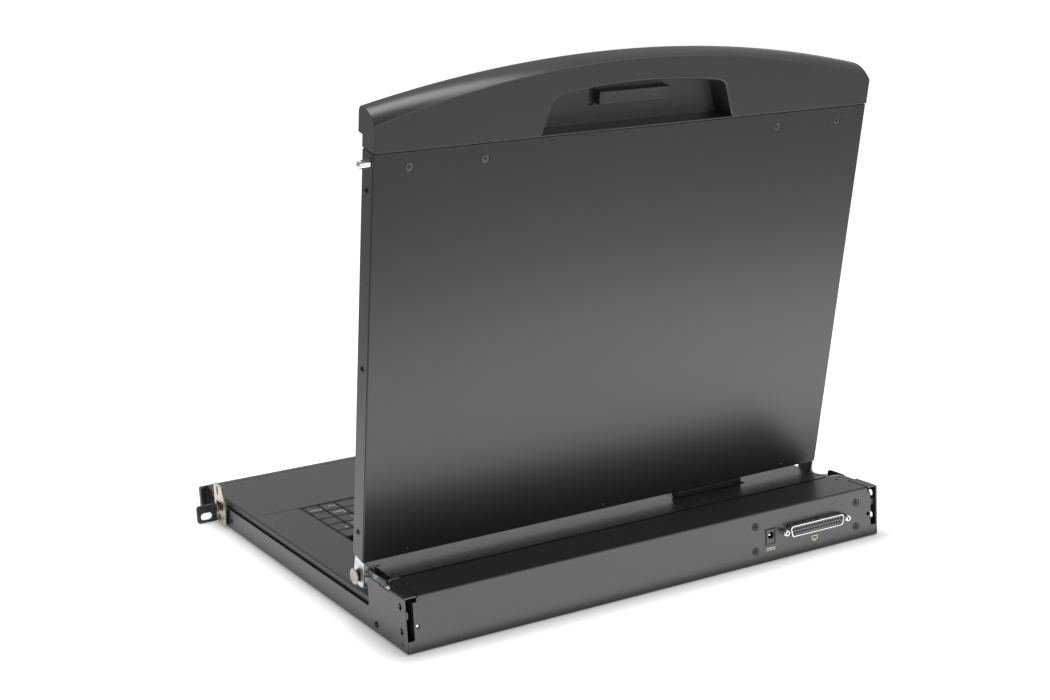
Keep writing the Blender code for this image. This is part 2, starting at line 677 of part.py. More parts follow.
build_chassis()
build_housing()
build_rear_connectors()
build_front_fittings()
build_slides()
build_tray()
build_keyboard()
build_touchpad()
build_hinges()
build_lid_shell()
build_osd_keys()
build_handle()
build_latch()
build_hinge_arms()
build_cable_shroud()
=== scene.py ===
"""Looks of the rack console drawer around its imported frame: rounded sheet metal, moulded handle, keys,
screws and connectors, with the materials, the floor, the light and the camera."""

import json
from math import cos, pi, radians, sin

import bmesh
import bpy
from mathutils import Matrix, Vector


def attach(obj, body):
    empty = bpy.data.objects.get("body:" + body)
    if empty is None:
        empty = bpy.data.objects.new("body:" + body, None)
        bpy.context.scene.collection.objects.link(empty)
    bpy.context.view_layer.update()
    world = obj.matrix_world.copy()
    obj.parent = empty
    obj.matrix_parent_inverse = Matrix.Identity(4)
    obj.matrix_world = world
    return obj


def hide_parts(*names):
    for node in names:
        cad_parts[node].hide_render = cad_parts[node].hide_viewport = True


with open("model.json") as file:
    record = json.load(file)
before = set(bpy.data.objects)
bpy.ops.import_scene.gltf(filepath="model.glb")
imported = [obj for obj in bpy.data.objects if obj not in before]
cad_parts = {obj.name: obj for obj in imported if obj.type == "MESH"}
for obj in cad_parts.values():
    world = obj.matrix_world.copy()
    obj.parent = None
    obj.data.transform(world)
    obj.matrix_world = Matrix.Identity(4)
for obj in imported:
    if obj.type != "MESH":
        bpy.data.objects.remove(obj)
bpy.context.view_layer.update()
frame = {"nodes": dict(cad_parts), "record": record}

MM = 0.001
REAR_FACE_Y = 200.0
LID_LEAN = radians(12.7)
LID_EDGE = Vector((0.0, -77.6, 47.2))
LID_AXES = Matrix.Translation(LID_EDGE) @ Matrix.Rotation(-LID_LEAN, 4, "X")
FRAME = Matrix.Scale(MM, 4) @ Matrix.Translation((0, REAR_FACE_Y, 0))
IDENTITY = Matrix.Identity(4)
SIDES = (-1, 1)
SIDE_NAMES = ((-1, "left"), (1, "right"))

HALF_WIDTH = 221.0
PANEL_HALF = 214.0
ROOF_HALF = 209.6
HEIGHT = 43.5
DECK_TOP = 24.4
PIVOT_Y = -89.8
PIVOT_Z = 34.5
PORT_X = -152.6
PORT_Z = 23.0
JACK_X = -108.9
JACK_Z = 21.0
PORT_SCREWS = (PORT_X - 31.75, PORT_X + 31.75)
CONTACT_PITCH = 2.76
CONTACT_ROW = 1.42
PANEL_SCREWS = [(-93.6, 32.4), (-93.6, 11.4), (-198.2, 32.4), (-198.2, 11.4)]
COVER_HALF = 203.5
COVER_REAR = -48.0
COVER_TOP = 42.2
COVER_UNDER = 41.3
COVER_SCREWS = [(203.9, -80.3), (203.4, -55.4)]

KEY_UNIT = 15.5
KEY_ROW = 19.4
KEY_GAP = 1.0
KEY_TOP = 24.2
KEYS_LEFT = -174.4
KEYS_FRONT = -307.5
EDIT_BLOCK = 15.25
NUMBER_PAD = 18.5
LID_HALF = 217.8
LID_LENGTH = 322.5
LID_DEPTH = 18.6
PIN_N = -4.6
PIN_L = 315.0
LID_SCREWS = [(189.8, 311.0), (129.8, 311.0), (-129.8, 311.0), (-189.8, 311.0)]
LID_SIDE_SCREWS = [(-9.4, 23.0), (-9.4, 158.0), (-9.4, 294.0)]
HANDLE_HALF = 217.4
HANDLE_BACK = 0.95
HANDLE_FRONT = -25.6
HANDLE_ROLL = 4.5
RECESS_FLOOR = -16.5

# Strength of the painted glow on the floor.
FIELD_GLOW = 0.66
FIELD_WIDENING = 0.33
FLOOR_HALF = 14.0
FLOOR_REAR = 6.0
FLOOR_RISE_START = -9.0
FLOOR_DROP = 0.0004

WORLD_GLOW = 0.39
# name, place, aim, size, radiance
LIGHTS = [
    ("backdrop", (0.0, -6.0, 1.65), (0.0, 0.0, 1.65), (16.0, 1.5), 0.9),
    ("softbox_top", (-0.02, -0.34, 2.4), (0.15, 0.1, 0.3), (1.0, 1.0), 5.2),
    ("window_rear", (-0.3, 3.4, 0.45), (-0.1, 0.2, 0.05), (4.4, 0.9), 3.5),
    ("window_high", (-0.9, 0.6, 1.6), (0.0, 0.15, 0.1), (0.9, 0.7), 2.4),
    ("table_rear_left", (-0.52, 0.345, 0.0008), (-0.52, 0.345, 1.0), (0.74, 0.27), 1.95),
    ("table_rear_right", (0.08, 0.345, 0.0008), (0.08, 0.345, 1.0), (0.46, 0.27), 1.85),
    ("table_right", (0.42, -0.05, 0.0008), (0.42, -0.05, 1.0), (0.38, 0.95), 0.15),
]
CAMERA_PLACE = (0.7046, 1.2661, 0.4774)
CAMERA_TURN = (0.509, 0.219, -0.051)
LENS = 58.82
LENS_SHIFT = (-0.00143, 0.0054)

NODE_BODY = {node: body for body, nodes in frame["record"]["behaviour"]["bodies"].items() for node in nodes}
NODE_SLOT = {part["node"]: part["material_slot"] for part in frame["record"]["subparts"]}


# ---- materials

class Nodes:
    """Short ways to add and link the nodes of one material."""

    def __init__(self, name):
        self.material = bpy.data.materials.new(name)
        self.material.use_nodes = True
        self.tree = self.material.node_tree
        self.shader = self.tree.nodes["Principled BSDF"]
        self.where = self.add("ShaderNodeTexCoord").outputs["Object"]

    def add(self, kind, **values):
        made = self.tree.nodes.new(kind)
        for key, value in values.items():
            setattr(made, key, value)
        return made

    def link(self, source, target):
        self.tree.links.new(source, target)

    def feed(self, socket, value):
        """Set a socket to a constant, a colour of three numbers included, or link an output to it."""
        if isinstance(value, tuple):
            socket.default_value = (*value, 1.0)
        elif isinstance(value, float):
            socket.default_value = value
        else:
            self.link(value, socket)

    def put(self, name, value):
        self.feed(self.shader.inputs[name], value)

    def calc(self, operation, *values):
        made = self.add("ShaderNodeMath", operation=operation)
        for socket, value in zip(made.inputs, values):
            self.feed(socket, value)
        return made.outputs["Value"]

    def noise(self, scale, detail=3.0, rough=0.5, stretch=None):
        place = self.where
        if stretch:
            mapping = self.add("ShaderNodeMapping")
            mapping.inputs["Scale"].default_value = stretch
            self.link(self.where, mapping.inputs["Vector"])
            place = mapping.outputs["Vector"]
        made = self.add("ShaderNodeTexNoise")
        made.inputs["Scale"].default_value = scale
        made.inputs["Detail"].default_value = detail
        made.inputs["Roughness"].default_value = rough
        self.link(place, made.inputs["Vector"])
        return made.outputs["Fac"]

    def spread(self, value, low, high, start=0.3, end=0.7):
        made = self.add("ShaderNodeMapRange")
        for key, number in (("From Min", start), ("From Max", end), ("To Min", low), ("To Max", high)):
            made.inputs[key].default_value = number
        self.link(value, made.inputs["Value"])
        return made.outputs["Result"]

    def mixed(self, share, first, second):
        made = self.add("ShaderNodeMix", data_type="RGBA")
        self.link(share, made.inputs[0])
        self.feed(made.inputs[6], first)
        self.feed(made.inputs[7], second)
        return made.outputs[2]

    def bump(self, height, strength, distance, under=None):
        made = self.add("ShaderNodeBump")
        made.inputs["Strength"].default_value = strength
        made.inputs["Distance"].default_value = distance
        self.link(height, made.inputs["Height"])
        if under:
            self.link(under, made.inputs["Normal"])
        return made.outputs["Normal"]

    def edges(self, radius=0.0006):
        """1 along the edges and 0 on flat faces, broken up by noise."""
        soft = self.add("ShaderNodeBevel", samples=2)
        soft.inputs["Radius"].default_value = radius
        product = self.add("ShaderNodeVectorMath", operation="DOT_PRODUCT")
        self.link(soft.outputs["Normal"], product.inputs[0])
        self.link(self.add("ShaderNodeNewGeometry").outputs["Normal"], product.inputs[1])
        turned_away = self.spread(product.outputs["Value"], 1.0, 0.0, 0.93, 0.995)
        return self.calc("MULTIPLY", turned_away, self.spread(self.noise(90.0, 3.0), 0.25, 1.0))


def coated_metal(name, colour, edge_wear_and_highlight, rough=0.36, grain=0.12, coat=0.0):
    """Powder-coated steel: fine orange-peel grain, faint blotches, and lighter edges that stand for a little
    wear and a painted highlight.
    """
    n = Nodes(name)
    blotch = n.noise(9.0, 4.0, 0.6)
    base = n.mixed(n.spread(blotch, 0.0, 1.0), colour, tuple(min(1.0, c * 1.14) for c in colour))
    fleck = n.spread(n.noise(2600.0, 1.0), 0.0, 0.35, 0.55, 0.8)
    base = n.mixed(fleck, base, tuple(min(1.0, c * 1.9) for c in colour))
    # Lighter colour along the edges: a little wear, and a painted highlight.
    n.put("Base Color", n.mixed(n.edges(), base, edge_wear_and_highlight))
    n.put("Roughness", n.spread(n.noise(1500.0, 2.0), rough - 0.05, rough + 0.07))
    peel = n.bump(n.noise(1100.0, 2.0), grain, 0.0002)
    n.put("Normal", n.bump(n.noise(14.0, 2.0), 0.03, 0.002, peel))
    n.put("Metallic", 0.0)
    n.put("Coat Weight", coat)
    n.put("Coat Roughness", 0.3)
    return n.material


def plated_metal(name, colour, tint, rough=0.26, scale=60.0):
    """Plated steel: drawn grain, cloudy passivation and small scratches."""
    n = Nodes(name)
    cloud = n.noise(scale, 5.0, 0.65)
    n.put("Base Color", n.mixed(n.spread(cloud, 0.0, 1.0), colour, tint))
    streak = n.noise(220.0, 3.0, 0.6, (1.0, 0.08, 1.0))
    n.put("Roughness", n.spread(streak, rough - 0.07, rough + 0.16))
    n.put("Normal", n.bump(n.noise(900.0, 2.0), 0.12, 0.0001))
    n.put("Metallic", 1.0)
    return n.material


def moulded(name, colour, rough=0.45, grain=0.22, scale=1700.0, coat=0.0):
    """Moulded plastic: spark-eroded grain, slight sink and gloss variation, and a painted highlight that
    lightens the edges.
    """
    n = Nodes(name)
    tone = n.spread(n.noise(22.0, 3.0), 0.0, 1.0)
    base = n.mixed(tone, colour, tuple(min(1.0, c * 1.12) for c in colour))
    # Lighter colour along the edges: a painted highlight.
    n.put("Base Color", n.mixed(n.edges(), base, tuple(min(1.0, c * 1.7) for c in colour)))
    n.put("Roughness", n.spread(n.noise(scale * 0.6, 2.0), rough - 0.05, rough + 0.06))
    fine = n.bump(n.noise(scale, 2.0, 0.6), grain, 0.00012)
    n.put("Normal", n.bump(n.noise(18.0, 1.0), 0.02, 0.003, fine))
    n.put("Coat Weight", coat)
    n.put("Coat Roughness", 0.22)
    return n.material


def ink(name, colour):
    n = Nodes(name)
    cloud = n.spread(n.noise(3000.0, 2.0), 0.0, 1.0)
    n.put("Base Color", n.mixed(cloud, colour, tuple(c * 0.8 for c in colour)))
    n.put("Roughness", n.spread(n.noise(1200.0), 0.45, 0.6))
    return n.material


def board(name):
    """Circuit board: green mask over copper traces."""
    n = Nodes(name)
    brick = n.add("ShaderNodeTexBrick")
    brick.inputs["Scale"].default_value = 160.0
    brick.inputs["Mortar Size"].default_value = 0.035
    n.link(n.where, brick.inputs["Vector"])
    mask = n.mixed(brick.outputs["Fac"], (0.012, 0.11, 0.045), (0.03, 0.2, 0.09))
    n.put("Base Color", mask)
    n.put("Roughness", n.spread(n.noise(300.0), 0.3, 0.45))
    n.put("Normal", n.bump(brick.outputs["Fac"], 0.3, 0.0001))
    return n.material


def glass(name):
    """Anti-glare sheet in front of the display."""
    n = Nodes(name)
    n.put("Base Color", (0.55, 0.58, 0.6))
    n.put("Transmission Weight", 0.9)
    n.put("IOR", 1.45)
    n.put("Roughness", n.spread(n.noise(2200.0, 2.0), 0.08, 0.16))
    n.put("Normal", n.bump(n.noise(2600.0), 0.05, 0.00005))
    return n.material


def display_black(name):
    """Unlit display: near-black with a faint grid of cells."""
    n = Nodes(name)
    checker = n.add("ShaderNodeTexChecker")
    checker.inputs["Scale"].default_value = 1900.0
    n.link(n.where, checker.inputs["Vector"])
    n.put("Base Color", n.mixed(checker.outputs["Fac"], (0.006, 0.007, 0.009), (0.012, 0.013, 0.016)))
    n.put("Roughness", n.spread(n.noise(40.0, 3.0), 0.2, 0.3))
    return n.material


black_steel = coated_metal("powder_black", (0.0125, 0.0127, 0.0131), (0.05, 0.05, 0.051), 0.33, 0.12)
cover_steel = coated_metal("powder_cover", (0.0125, 0.0127, 0.0131), (0.05, 0.05, 0.051), 0.28, 0.10)
# The deck's light edge colour paints a highlight line along its folded edges, with a little wear.
deck_steel = coated_metal("powder_deck", (0.0130, 0.0132, 0.0136), (0.15, 0.15, 0.15), 0.42, 0.12)
zinc = plated_metal("zinc_plate", (0.66, 0.72, 0.73), (0.54, 0.62, 0.66), 0.36)
# A darker copy of the zinc plate: painted shade for the hinge parts on the left side.
zinc_with_painted_shade = plated_metal("zinc_painted_shade", (0.17, 0.18, 0.185), (0.11, 0.12, 0.13), 0.36)
bracket_zinc = plated_metal("zinc_olive", (0.52, 0.49, 0.40), (0.38, 0.36, 0.28), 0.3)
brass_zinc = plated_metal("zinc_yellow", (0.74, 0.66, 0.45), (0.62, 0.58, 0.45), 0.3)
black_zinc = plated_metal("zinc_black", (0.036, 0.037, 0.040), (0.022, 0.022, 0.024), 0.28)
grey_zinc = plated_metal("zinc_grey", (0.13, 0.13, 0.135), (0.08, 0.08, 0.085), 0.3)
nickel = plated_metal("nickel_plate", (0.78, 0.77, 0.73), (0.66, 0.63, 0.57), 0.2, 140.0)
black_plastic = moulded("plastic_black", (0.016, 0.016, 0.017), 0.42)
grey_plastic = moulded("plastic_grey", (0.030, 0.030, 0.031), 0.45)
satin_plastic = moulded("plastic_satin", (0.015, 0.0155, 0.0165), 0.33, 0.08, 1900.0, 0.2)
dark_insert = moulded("plastic_port", (0.038, 0.040, 0.047), 0.45, 0.3)
key_black = moulded("plastic_key", (0.020, 0.020, 0.021), 0.46, 0.3, 2400.0)
touch_grey = moulded("plastic_touch", (0.070, 0.070, 0.072), 0.5, 0.3, 3000.0)
cream_nylon = moulded("nylon_cream", (0.46, 0.41, 0.34), 0.4, 0.15)
screen_black = display_black("display_black")
screen_glass = glass("display_sheet")
board_green = board("board_green")
print_white = ink("print_white", (0.86, 0.87, 0.86))
print_yellow = ink("print_yellow", (0.52, 0.50, 0.24))

LOOKS = {
    "black_steel": black_steel, "zinc": zinc, "brass_zinc": brass_zinc, "nickel": nickel,
    "black_plastic": black_plastic, "grey_plastic": grey_plastic, "satin_plastic": satin_plastic,
    "dark_insert": dark_insert, "key_black": key_black, "touch_grey": touch_grey, "cream_nylon": cream_nylon,
    "panel_black": screen_black, "screen_glass": screen_glass, "board_green": board_green,
}


# ---- outlines and meshes, in millimetres

def rectangle(low, high):
    return [(low[0], low[1]), (high[0], low[1]), (high[0], high[1]), (low[0], high[1])]


def arc(centre, radius, start, end, steps):
    points = []
    for i in range(steps + 1):
        angle = radians(start + (end - start) * i / steps)
        points.append((centre[0] + radius * cos(angle), centre[1] + radius * sin(angle)))
    return points


def circle(centre, radius, steps=32):
    return arc(centre, radius, 0, 360, steps)[:-1]


def hexagon(centre, radius, turn=0):
    return arc(centre, radius, turn, turn + 360, 6)[:-1]


def rounded(low, high, radius, steps=4):
    inner = [(high[0] - radius, high[1] - radius), (low[0] + radius, high[1] - radius),
             (low[0] + radius, low[1] + radius), (high[0] - radius, low[1] + radius)]
    points = []
    for i, centre in enumerate(inner):
        points += arc(centre, radius, 90 * i, 90 * i + 90, steps)
    return points


def mirrored(points):
    return [(-a, b) for a, b in reversed(points)]


def placed(axis, first, second, along):
    if axis == "X":
        return (along, first, second)
    if axis == "Y":
        return (first, along, second)
    return (first, second, along)


def loft(sections, closed_ends=True):
    mesh = bmesh.new()
    rings = [[mesh.verts.new(point) for point in section] for section in sections]
    count = len(rings[0])
    for low, high in zip(rings, rings[1:]):
        for i in range(count):
            j = (i + 1) % count
            mesh.faces.new((low[i], low[j], high[j], high[i]))
    if closed_ends:
        mesh.faces.new(rings[0])
        mesh.faces.new(rings[-1])
    bmesh.ops.recalc_face_normals(mesh, faces=mesh.faces)
    if mesh.calc_volume(signed=True) < 0:
        bmesh.ops.reverse_faces(mesh, faces=mesh.faces)
    return mesh


def prism(axis, outline, low, high):
    return loft([[placed(axis, a, b, end) for a, b in outline] for end in (low, high)])


def box(x, y, z):
    return prism("Z", rectangle((x[0], y[0]), (x[1], y[1])), z[0], z[1])


def turned(axis, centre, profile, steps=32):
    """A turned piece: profile is (along, radius) pairs from one end to the other."""
    return loft([[placed(axis, a, b, along) for a, b in circle(centre, radius, steps)]
                 for along, radius in profile])


def sided(side, points):
    return [(side * a, b) for a, b in points]


def span(side, near, far):
    return tuple(sorted((side * near, side * far)))


def linked(name, data):
    made = bpy.data.objects.new(name, data)
    bpy.context.scene.collection.objects.link(made)
    return made


def joined(meshes):
    whole = bmesh.new()
    for mesh in meshes:
        data = bpy.data.meshes.new("piece")
        mesh.to_mesh(data)
        mesh.free()
        whole.from_mesh(data)
        bpy.data.meshes.remove(data)
    return whole


def as_object(name, mesh):
    data = bpy.data.meshes.new(name)
    mesh.to_mesh(data)
    mesh.free()
    return linked(name, data)


def evaluated_mesh(target):
    bpy.context.view_layer.update()
    return bpy.data.meshes.new_from_object(target.evaluated_get(bpy.context.evaluated_depsgraph_get()))


def apply_modifiers(target):
    result = evaluated_mesh(target)
    target.modifiers.clear()
    target.data = result


def combine(target, operation, tools):
    for tool in tools:
        other = as_object("tool", tool)
        step = target.modifiers.new("combine", "BOOLEAN")
        step.operation = operation
        step.solver = "EXACT"
        step.use_self = True
        step.object = other
        apply_modifiers(target)
        bpy.data.objects.remove(other)


def cut(target, *tools):
    combine(target, "DIFFERENCE", tools)


def fuse(target, *tools):
    combine(target, "UNION", tools)


def rounded_edges(target, width, segments=3, angle=35):
    """Round the sharp edges and keep the result as the mesh."""
    step = target.modifiers.new("edges", "BEVEL")
    step.width = width * MM
    step.segments = segments
    step.limit_method = "ANGLE"
    step.angle_limit = radians(angle)
    apply_modifiers(target)


def shade(data, angle=36):
    """Smooth across shallow edges only, led by the larger faces, so that flat faces stay flat."""
    near = cos(radians(angle))
    faces = data.polygons
    normals = [face.normal.copy() for face in faces]
    areas = [face.area for face in faces]
    around = [[] for _ in data.vertices]
    for face in faces:
        face.use_smooth = True
        for vertex in face.vertices:
            around[vertex].append(face.index)
    corners = [None] * len(data.loops)
    for face in faces:
        own = normals[face.index]
        for loop in face.loop_indices:
            total = own * (areas[face.index] + 1e-12)
            for other in around[data.loops[loop].vertex_index]:
                if other != face.index and own.dot(normals[other]) > near:
                    total = total + normals[other] * areas[other]
            corners[loop] = total.normalized()
    data.normals_split_custom_set(corners)


def finished(target, look, body, edge, segments, stands_for=(), axes=IDENTITY):
    """Put a piece drawn in millimetres in place, round its edges, and give it its look, body and slot."""
    if axes:
        target.data.transform(FRAME @ axes)
    if edge:
        rounded_edges(target, edge, segments)
    target.data.materials.clear()
    target.data.materials.append(look)
    for face in target.data.polygons:
        face.material_index = 0
    shade(target.data)
    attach(target, body)
    if stands_for:
        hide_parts(*stands_for)


def piece(name, mesh, look, body, stands_for=(), axes=IDENTITY, edge=0.0, segments=3, cuts=()):
    """A new piece drawn in millimetres, in the frame's axes or the lid's."""
    target = as_object(name, mesh)
    cut(target, *cuts)
    finished(target, look, body, edge, segments, stands_for, axes)


def flats_merged(data, angle, weld=False):
    """Join the faces that lie within an angle of each other, after welding their corners if asked."""
    mesh = bmesh.new()
    mesh.from_mesh(data)
    if weld:
        bmesh.ops.remove_doubles(mesh, verts=mesh.verts, dist=1e-6)
    bmesh.ops.dissolve_limit(mesh, angle_limit=radians(angle), verts=mesh.verts, edges=mesh.edges)
    mesh.to_mesh(data)
    mesh.free()


def softened(node, look=None, edge=0.3, segments=2):
    """The CAD node's shape with its edges rounded."""
    data = frame["nodes"][node].data.copy()
    flats_merged(data, 0.6, weld=True)
    target = linked(node + "_shape", data)
    slot = NODE_SLOT[node]
    finished(target, look or LOOKS[slot], NODE_BODY[node], edge, segments, (node,), None)


def ballooned(mesh, radius, segments=3):
    """Round every edge of a drawn mesh before anything is cut from it."""
    bmesh.ops.bevel(mesh, geom=list(mesh.edges), offset=radius, segments=segments, profile=0.5,
                    affect="EDGES")
    return mesh


def plus_outline(centre, reach, half):
    quarter = [(half, reach), (half, half), (reach, half)]
    points = []
    for turn in range(4):
        for a, b in quarter[::-1]:
            points.append((centre[0] + a, centre[1] + b))
        quarter = [(-b, a) for a, b in quarter]
    return points


def cross_recess(axis, centre, face, depth):
    """Cutter for a cross recess. Depth is signed: it goes from the face into the head."""
    out = -0.4 if depth > 0 else 0.4
    sections = ((face + out, 1.55, 0.42), (face, 1.5, 0.4), (face + depth * 0.7, 0.85, 0.3),
                (face + depth, 0.4, 0.2))
    return loft([[placed(axis, a, b, along) for a, b in plus_outline(centre, reach, half)]
                 for along, reach, half in sections])


def flat_screw(name, axis, centre, face, out, body, radius=2.8, look=black_zinc, axes=IDENTITY,
               deep=3.7):
    """Countersunk screw flush with the face. Out is +1 or -1 along the axis."""
    steps = [(0.12, radius - 0.35), (0.16, radius - 0.08), (0.3, radius), (1.3, 1.45), (deep - 0.3, 1.4),
             (deep, 1.1)]
    profile = [(face - depth * out, wide) for depth, wide in steps]
    head = turned(axis, centre, profile, 32)
    recess = cross_recess(axis, centre, face - 0.1 * out, -1.0 * out)
    piece(name, head, look, body, axes=axes, edge=0.06, segments=2, cuts=[recess])


def dome_screw(name, axis, centre, face, out, body, radius=2.6, height=1.3, look=black_zinc,
               axes=IDENTITY):
    """Button-head screw standing on the face."""
    profile = [(face - 2.0 * out, 1.3), (face + 0.02 * out, 1.4), (face + 0.03 * out, radius)]
    for i in range(7):
        angle = radians(90 * i / 6)
        profile.append((face + (0.2 + (height - 0.2) * sin(angle)) * out,
                        radius * (0.42 + 0.58 * cos(angle))))
    head = turned(axis, centre, profile, 32)
    recess = cross_recess(axis, centre, face + height * out, -0.9 * out)
    piece(name, head, look, body, axes=axes, edge=0.05, segments=2, cuts=[recess])


def rivet(name, axis, centre, face, out, body, radius=1.3, height=0.35, look=black_zinc, axes=IDENTITY):
    profile = [(face - 0.6 * out, radius * 0.6), (face + 0.01 * out, radius),
               (face + height * 0.5 * out, radius * 0.94), (face + height * 0.9 * out, radius * 0.7),
               (face + height * out, radius * 0.35)]
    piece(name, turned(axis, centre, profile, 20), look, body, axes=axes)


# ---- chassis

def build_chassis():
    corner = arc((HALF_WIDTH - 1.8, 1.8), 1.8, -90, 0, 6)
    inside = arc((HALF_WIDTH - 1.8, 1.8), 0.6, 0, -90, 4)
    half = corner + [(HALF_WIDTH, HEIGHT), (HALF_WIDTH - 1.2, HEIGHT)] + inside
    pan = prism("Y", half + mirrored(half), -390, 0)
    gone = [(-400, 18.5), (-65.5, 18.5), (-63, 21.0), (-63, 39.2), (-62.2, 41.6), (-59.8, 42.6),
            (-42.0, 42.6), (-41.2, 41.6), (-24.6, 41.6), (-24.0, HEIGHT), (-24.0, 50), (-400, 50)]
    target = as_object("chassis_folded", pan)
    cut(target, prism("X", gone, -230, 230), box((-219.7, 219.7), (-1.5, 2), (-1, 10)))
    for side in SIDES:
        cut(target, box(span(side, 219.0, 222.0), (-24.0, 1), (HEIGHT - 4, HEIGHT + 1)))
        fold = [(HALF_WIDTH, HEIGHT - 5)] + arc((HALF_WIDTH - 1.6, HEIGHT - 1.6), 1.6, 0, 90, 6)
        fold += [(210.9, HEIGHT), (210.9, HEIGHT - 1.2)]
        fold += arc((HALF_WIDTH - 1.6, HEIGHT - 1.6), 0.4, 90, 0, 3) + [(HALF_WIDTH - 1.2, HEIGHT - 5)]
        if side < 0:
            fold = mirrored(fold)
        fuse(target, prism("Y", fold, -23.9, 0))
        for y, z, radius in ((-7.0, 35.3, 2.7), (-7.0, 16.1, 2.7), (-6.6, 6.3, 1.2)):
            cut(target, turned("X", (y, z), [(side * 219, radius), (side * 222, radius)]))
    finished(target, black_steel, "chassis", 0.35, 3, ("chassis_pan",))
    for side, name in SIDE_NAMES:
        face = side * HALF_WIDTH
        dome_screw(f"side_screw_rear_{name}", "X", (-52.0, 7.4), face, side, "chassis")
        dome_screw(f"side_screw_front_{name}", "X", (-362.0, 8.4), face, side, "chassis", 2.2, 1.1)
        tab = [(219.6, -9), (219.6, -3.2), (216.8, -3.2), (216.8, -4.2), (218.6, -4.2), (218.6, -9)]
        tab = prism("Z", sided(side, tab), 25.8, 31.2)
        piece(f"slot_tab_{name}", tab, dark_insert, "chassis", edge=0.2)
        rivet(f"corner_rivet_{name}", "X", (-6.6, 6.3), face - side * 0.4, side, "chassis", 0.8, 0.25)


def build_housing():
    """Rear panel, roof and cheeks in one folded sheet, a slot's width inside the side plates."""
    fold = arc((-1.2, HEIGHT - 1.2), 1.2, 0, 90, 6)
    sheet = [(0, 0.2)] + fold
    sheet += [(-42, HEIGHT), (-42, HEIGHT - 1.0), (-1.4, HEIGHT - 1.0), (-1.1, HEIGHT - 1.3), (-1.1, 0.2)]
    target = as_object("rear_housing_folded", prism("X", sheet, -ROOF_HALF, ROOF_HALF))
    half = [(219.5, 0.2), (219.5, 9.4), (216.0, 9.4)] + arc((215.5, 10.9), 1.5, -90, -180, 4)
    half += [(PANEL_HALF, 38.6), (210.9, 38.6), (210.9, 41.9), (209.0, 41.9)]
    fuse(target, prism("Y", half + mirrored(half), -1.1, 0))
    for side in SIDES:
        wing = sided(side, [(209.2, -42), (209.2, -24.8), (216.5, -24.8), (216.5, -39.5), (214.5, -42)])
        fuse(target, box(span(side, 208.6, ROOF_HALF), (-42, -0.5), (1.5, HEIGHT - 0.4)),
             box(span(side, PANEL_HALF - 0.8, PANEL_HALF), (-7.5, -0.5), (9.8, 38.2)),
             prism("Z", wing, 42.5, HEIGHT))
    cutters = [prism("Y", d_outline(56.2, 10.6), -3, 2),
               prism("Y", rounded((JACK_X - 5.3, JACK_Z - 7.2), (JACK_X + 5.3, JACK_Z + 7.2), 0.5), -3, 2)]
    cutters += [turned("Y", (x, PORT_Z), [(-3, 1.6), (2, 1.6)], 16) for x in PORT_SCREWS]
    countersink = [(-2, 1.6), (-1.1, 1.7), (-0.55, 3.5), (1, 3.5)]
    cutters += [turned("Y", screw, countersink, 32) for screw in PANEL_SCREWS]
    cutters += [turned("Y", (side * 211.1, 20.0), [(-3, 1.7), (2, 1.7)], 20) for side in SIDES]
    cut(target, *cutters)
    finished(target, black_steel, "chassis", 0.2, 2, ("rear_housing",))
    for i, screw in enumerate(PANEL_SCREWS):
        flat_screw(f"panel_screw_{i + 1}", "Y", screw, 0.0, 1, "chassis")
    hem = [(-43.0, 42.5), (-43.4, 43.0), (-43.3, 43.6), (-42.7, 43.95), (-41.9, 43.9), (-41.3, 43.6),
           (-41.5, 43.52), (-42.1, 43.52), (-42.6, 43.3), (-42.7, 42.5)]
    path = ((204.4, 0.0), (210.4, 0.0), (211.6, 0.4), (212.8, 1.6), (214.2, 3.6))
    for side, name in SIDE_NAMES:
        curl = loft([[(side * x, y + back, z) for y, z in hem] for x, back in path])
        piece(f"roof_hem_{name}", curl, zinc, "chassis")
        rivet(f"roof_rivet_{name}", "Z", (side * 205.0, -33.0), HEIGHT, 1, "chassis", 1.6, 0.3)
        rivet(f"roof_dot_{name}", "Z", (side * 212.3, -37.7), HEIGHT, 1, "chassis", 0.8, 0.25)
    rivet("panel_dot", "Y", (218.4, 2.9), 0.0, 1, "chassis", 0.8, 0.25, grey_zinc)
    pin = turned("Y", (211.5, 20.4), [(-2.0, 1.15), (-0.6, 1.15), (-0.2, 0.9), (-0.05, 0.5)], 20)
    piece("panel_pin", pin, nickel, "chassis")


def d_outline(width, height):
    half = width / 2
    slope = 0.9
    corner = 2.2
    low = PORT_Z - height / 2
    high = PORT_Z + height / 2
    points = arc((PORT_X + half - corner, high - corner), corner, 0, 90, 5)
    points += arc((PORT_X - half + corner, high - corner), corner, 90, 180, 5)
    points += arc((PORT_X - half + corner + slope, low + corner), corner, 190, 270, 5)
    points += arc((PORT_X + half - corner - slope, low + corner), corner, 270, 350, 5)
    return points


def build_power_inlet():
    body = ballooned(box((JACK_X - 5, JACK_X + 5), (-13, 1.0), (JACK_Z - 6.85, JACK_Z + 6.85)), 0.35, 2)
    barrel = turned("Y", (JACK_X, JACK_Z + 1.2), [(-9, 3.0), (0.2, 3.05), (0.9, 3.6), (2, 4.2)], 40)
    pocket = prism("Y", rounded((JACK_X - 3.9, JACK_Z - 5.9), (JACK_X + 3.9, JACK_Z + 5.9), 0.8), 0.3, 2)
    piece("power_inlet_moulded", body, black_plastic, "chassis", ("dc_inlet_body",),
          edge=0.1, segments=2, cuts=[pocket, barrel])
    pin = turned("Y", (JACK_X, JACK_Z + 1.2), [(-9.0, 1.0), (-2.2, 1.0), (-1.7, 0.85), (-1.5, 0.5)], 20)
    piece("power_inlet_pin_turned", pin, nickel, "chassis", ("dc_inlet_pin",))
    spring = box((JACK_X - 0.9, JACK_X + 0.9), (-6, -0.4), (JACK_Z - 2.1, JACK_Z - 1.75))
    piece("power_inlet_spring", ballooned(spring, 0.1, 2), nickel, "chassis")


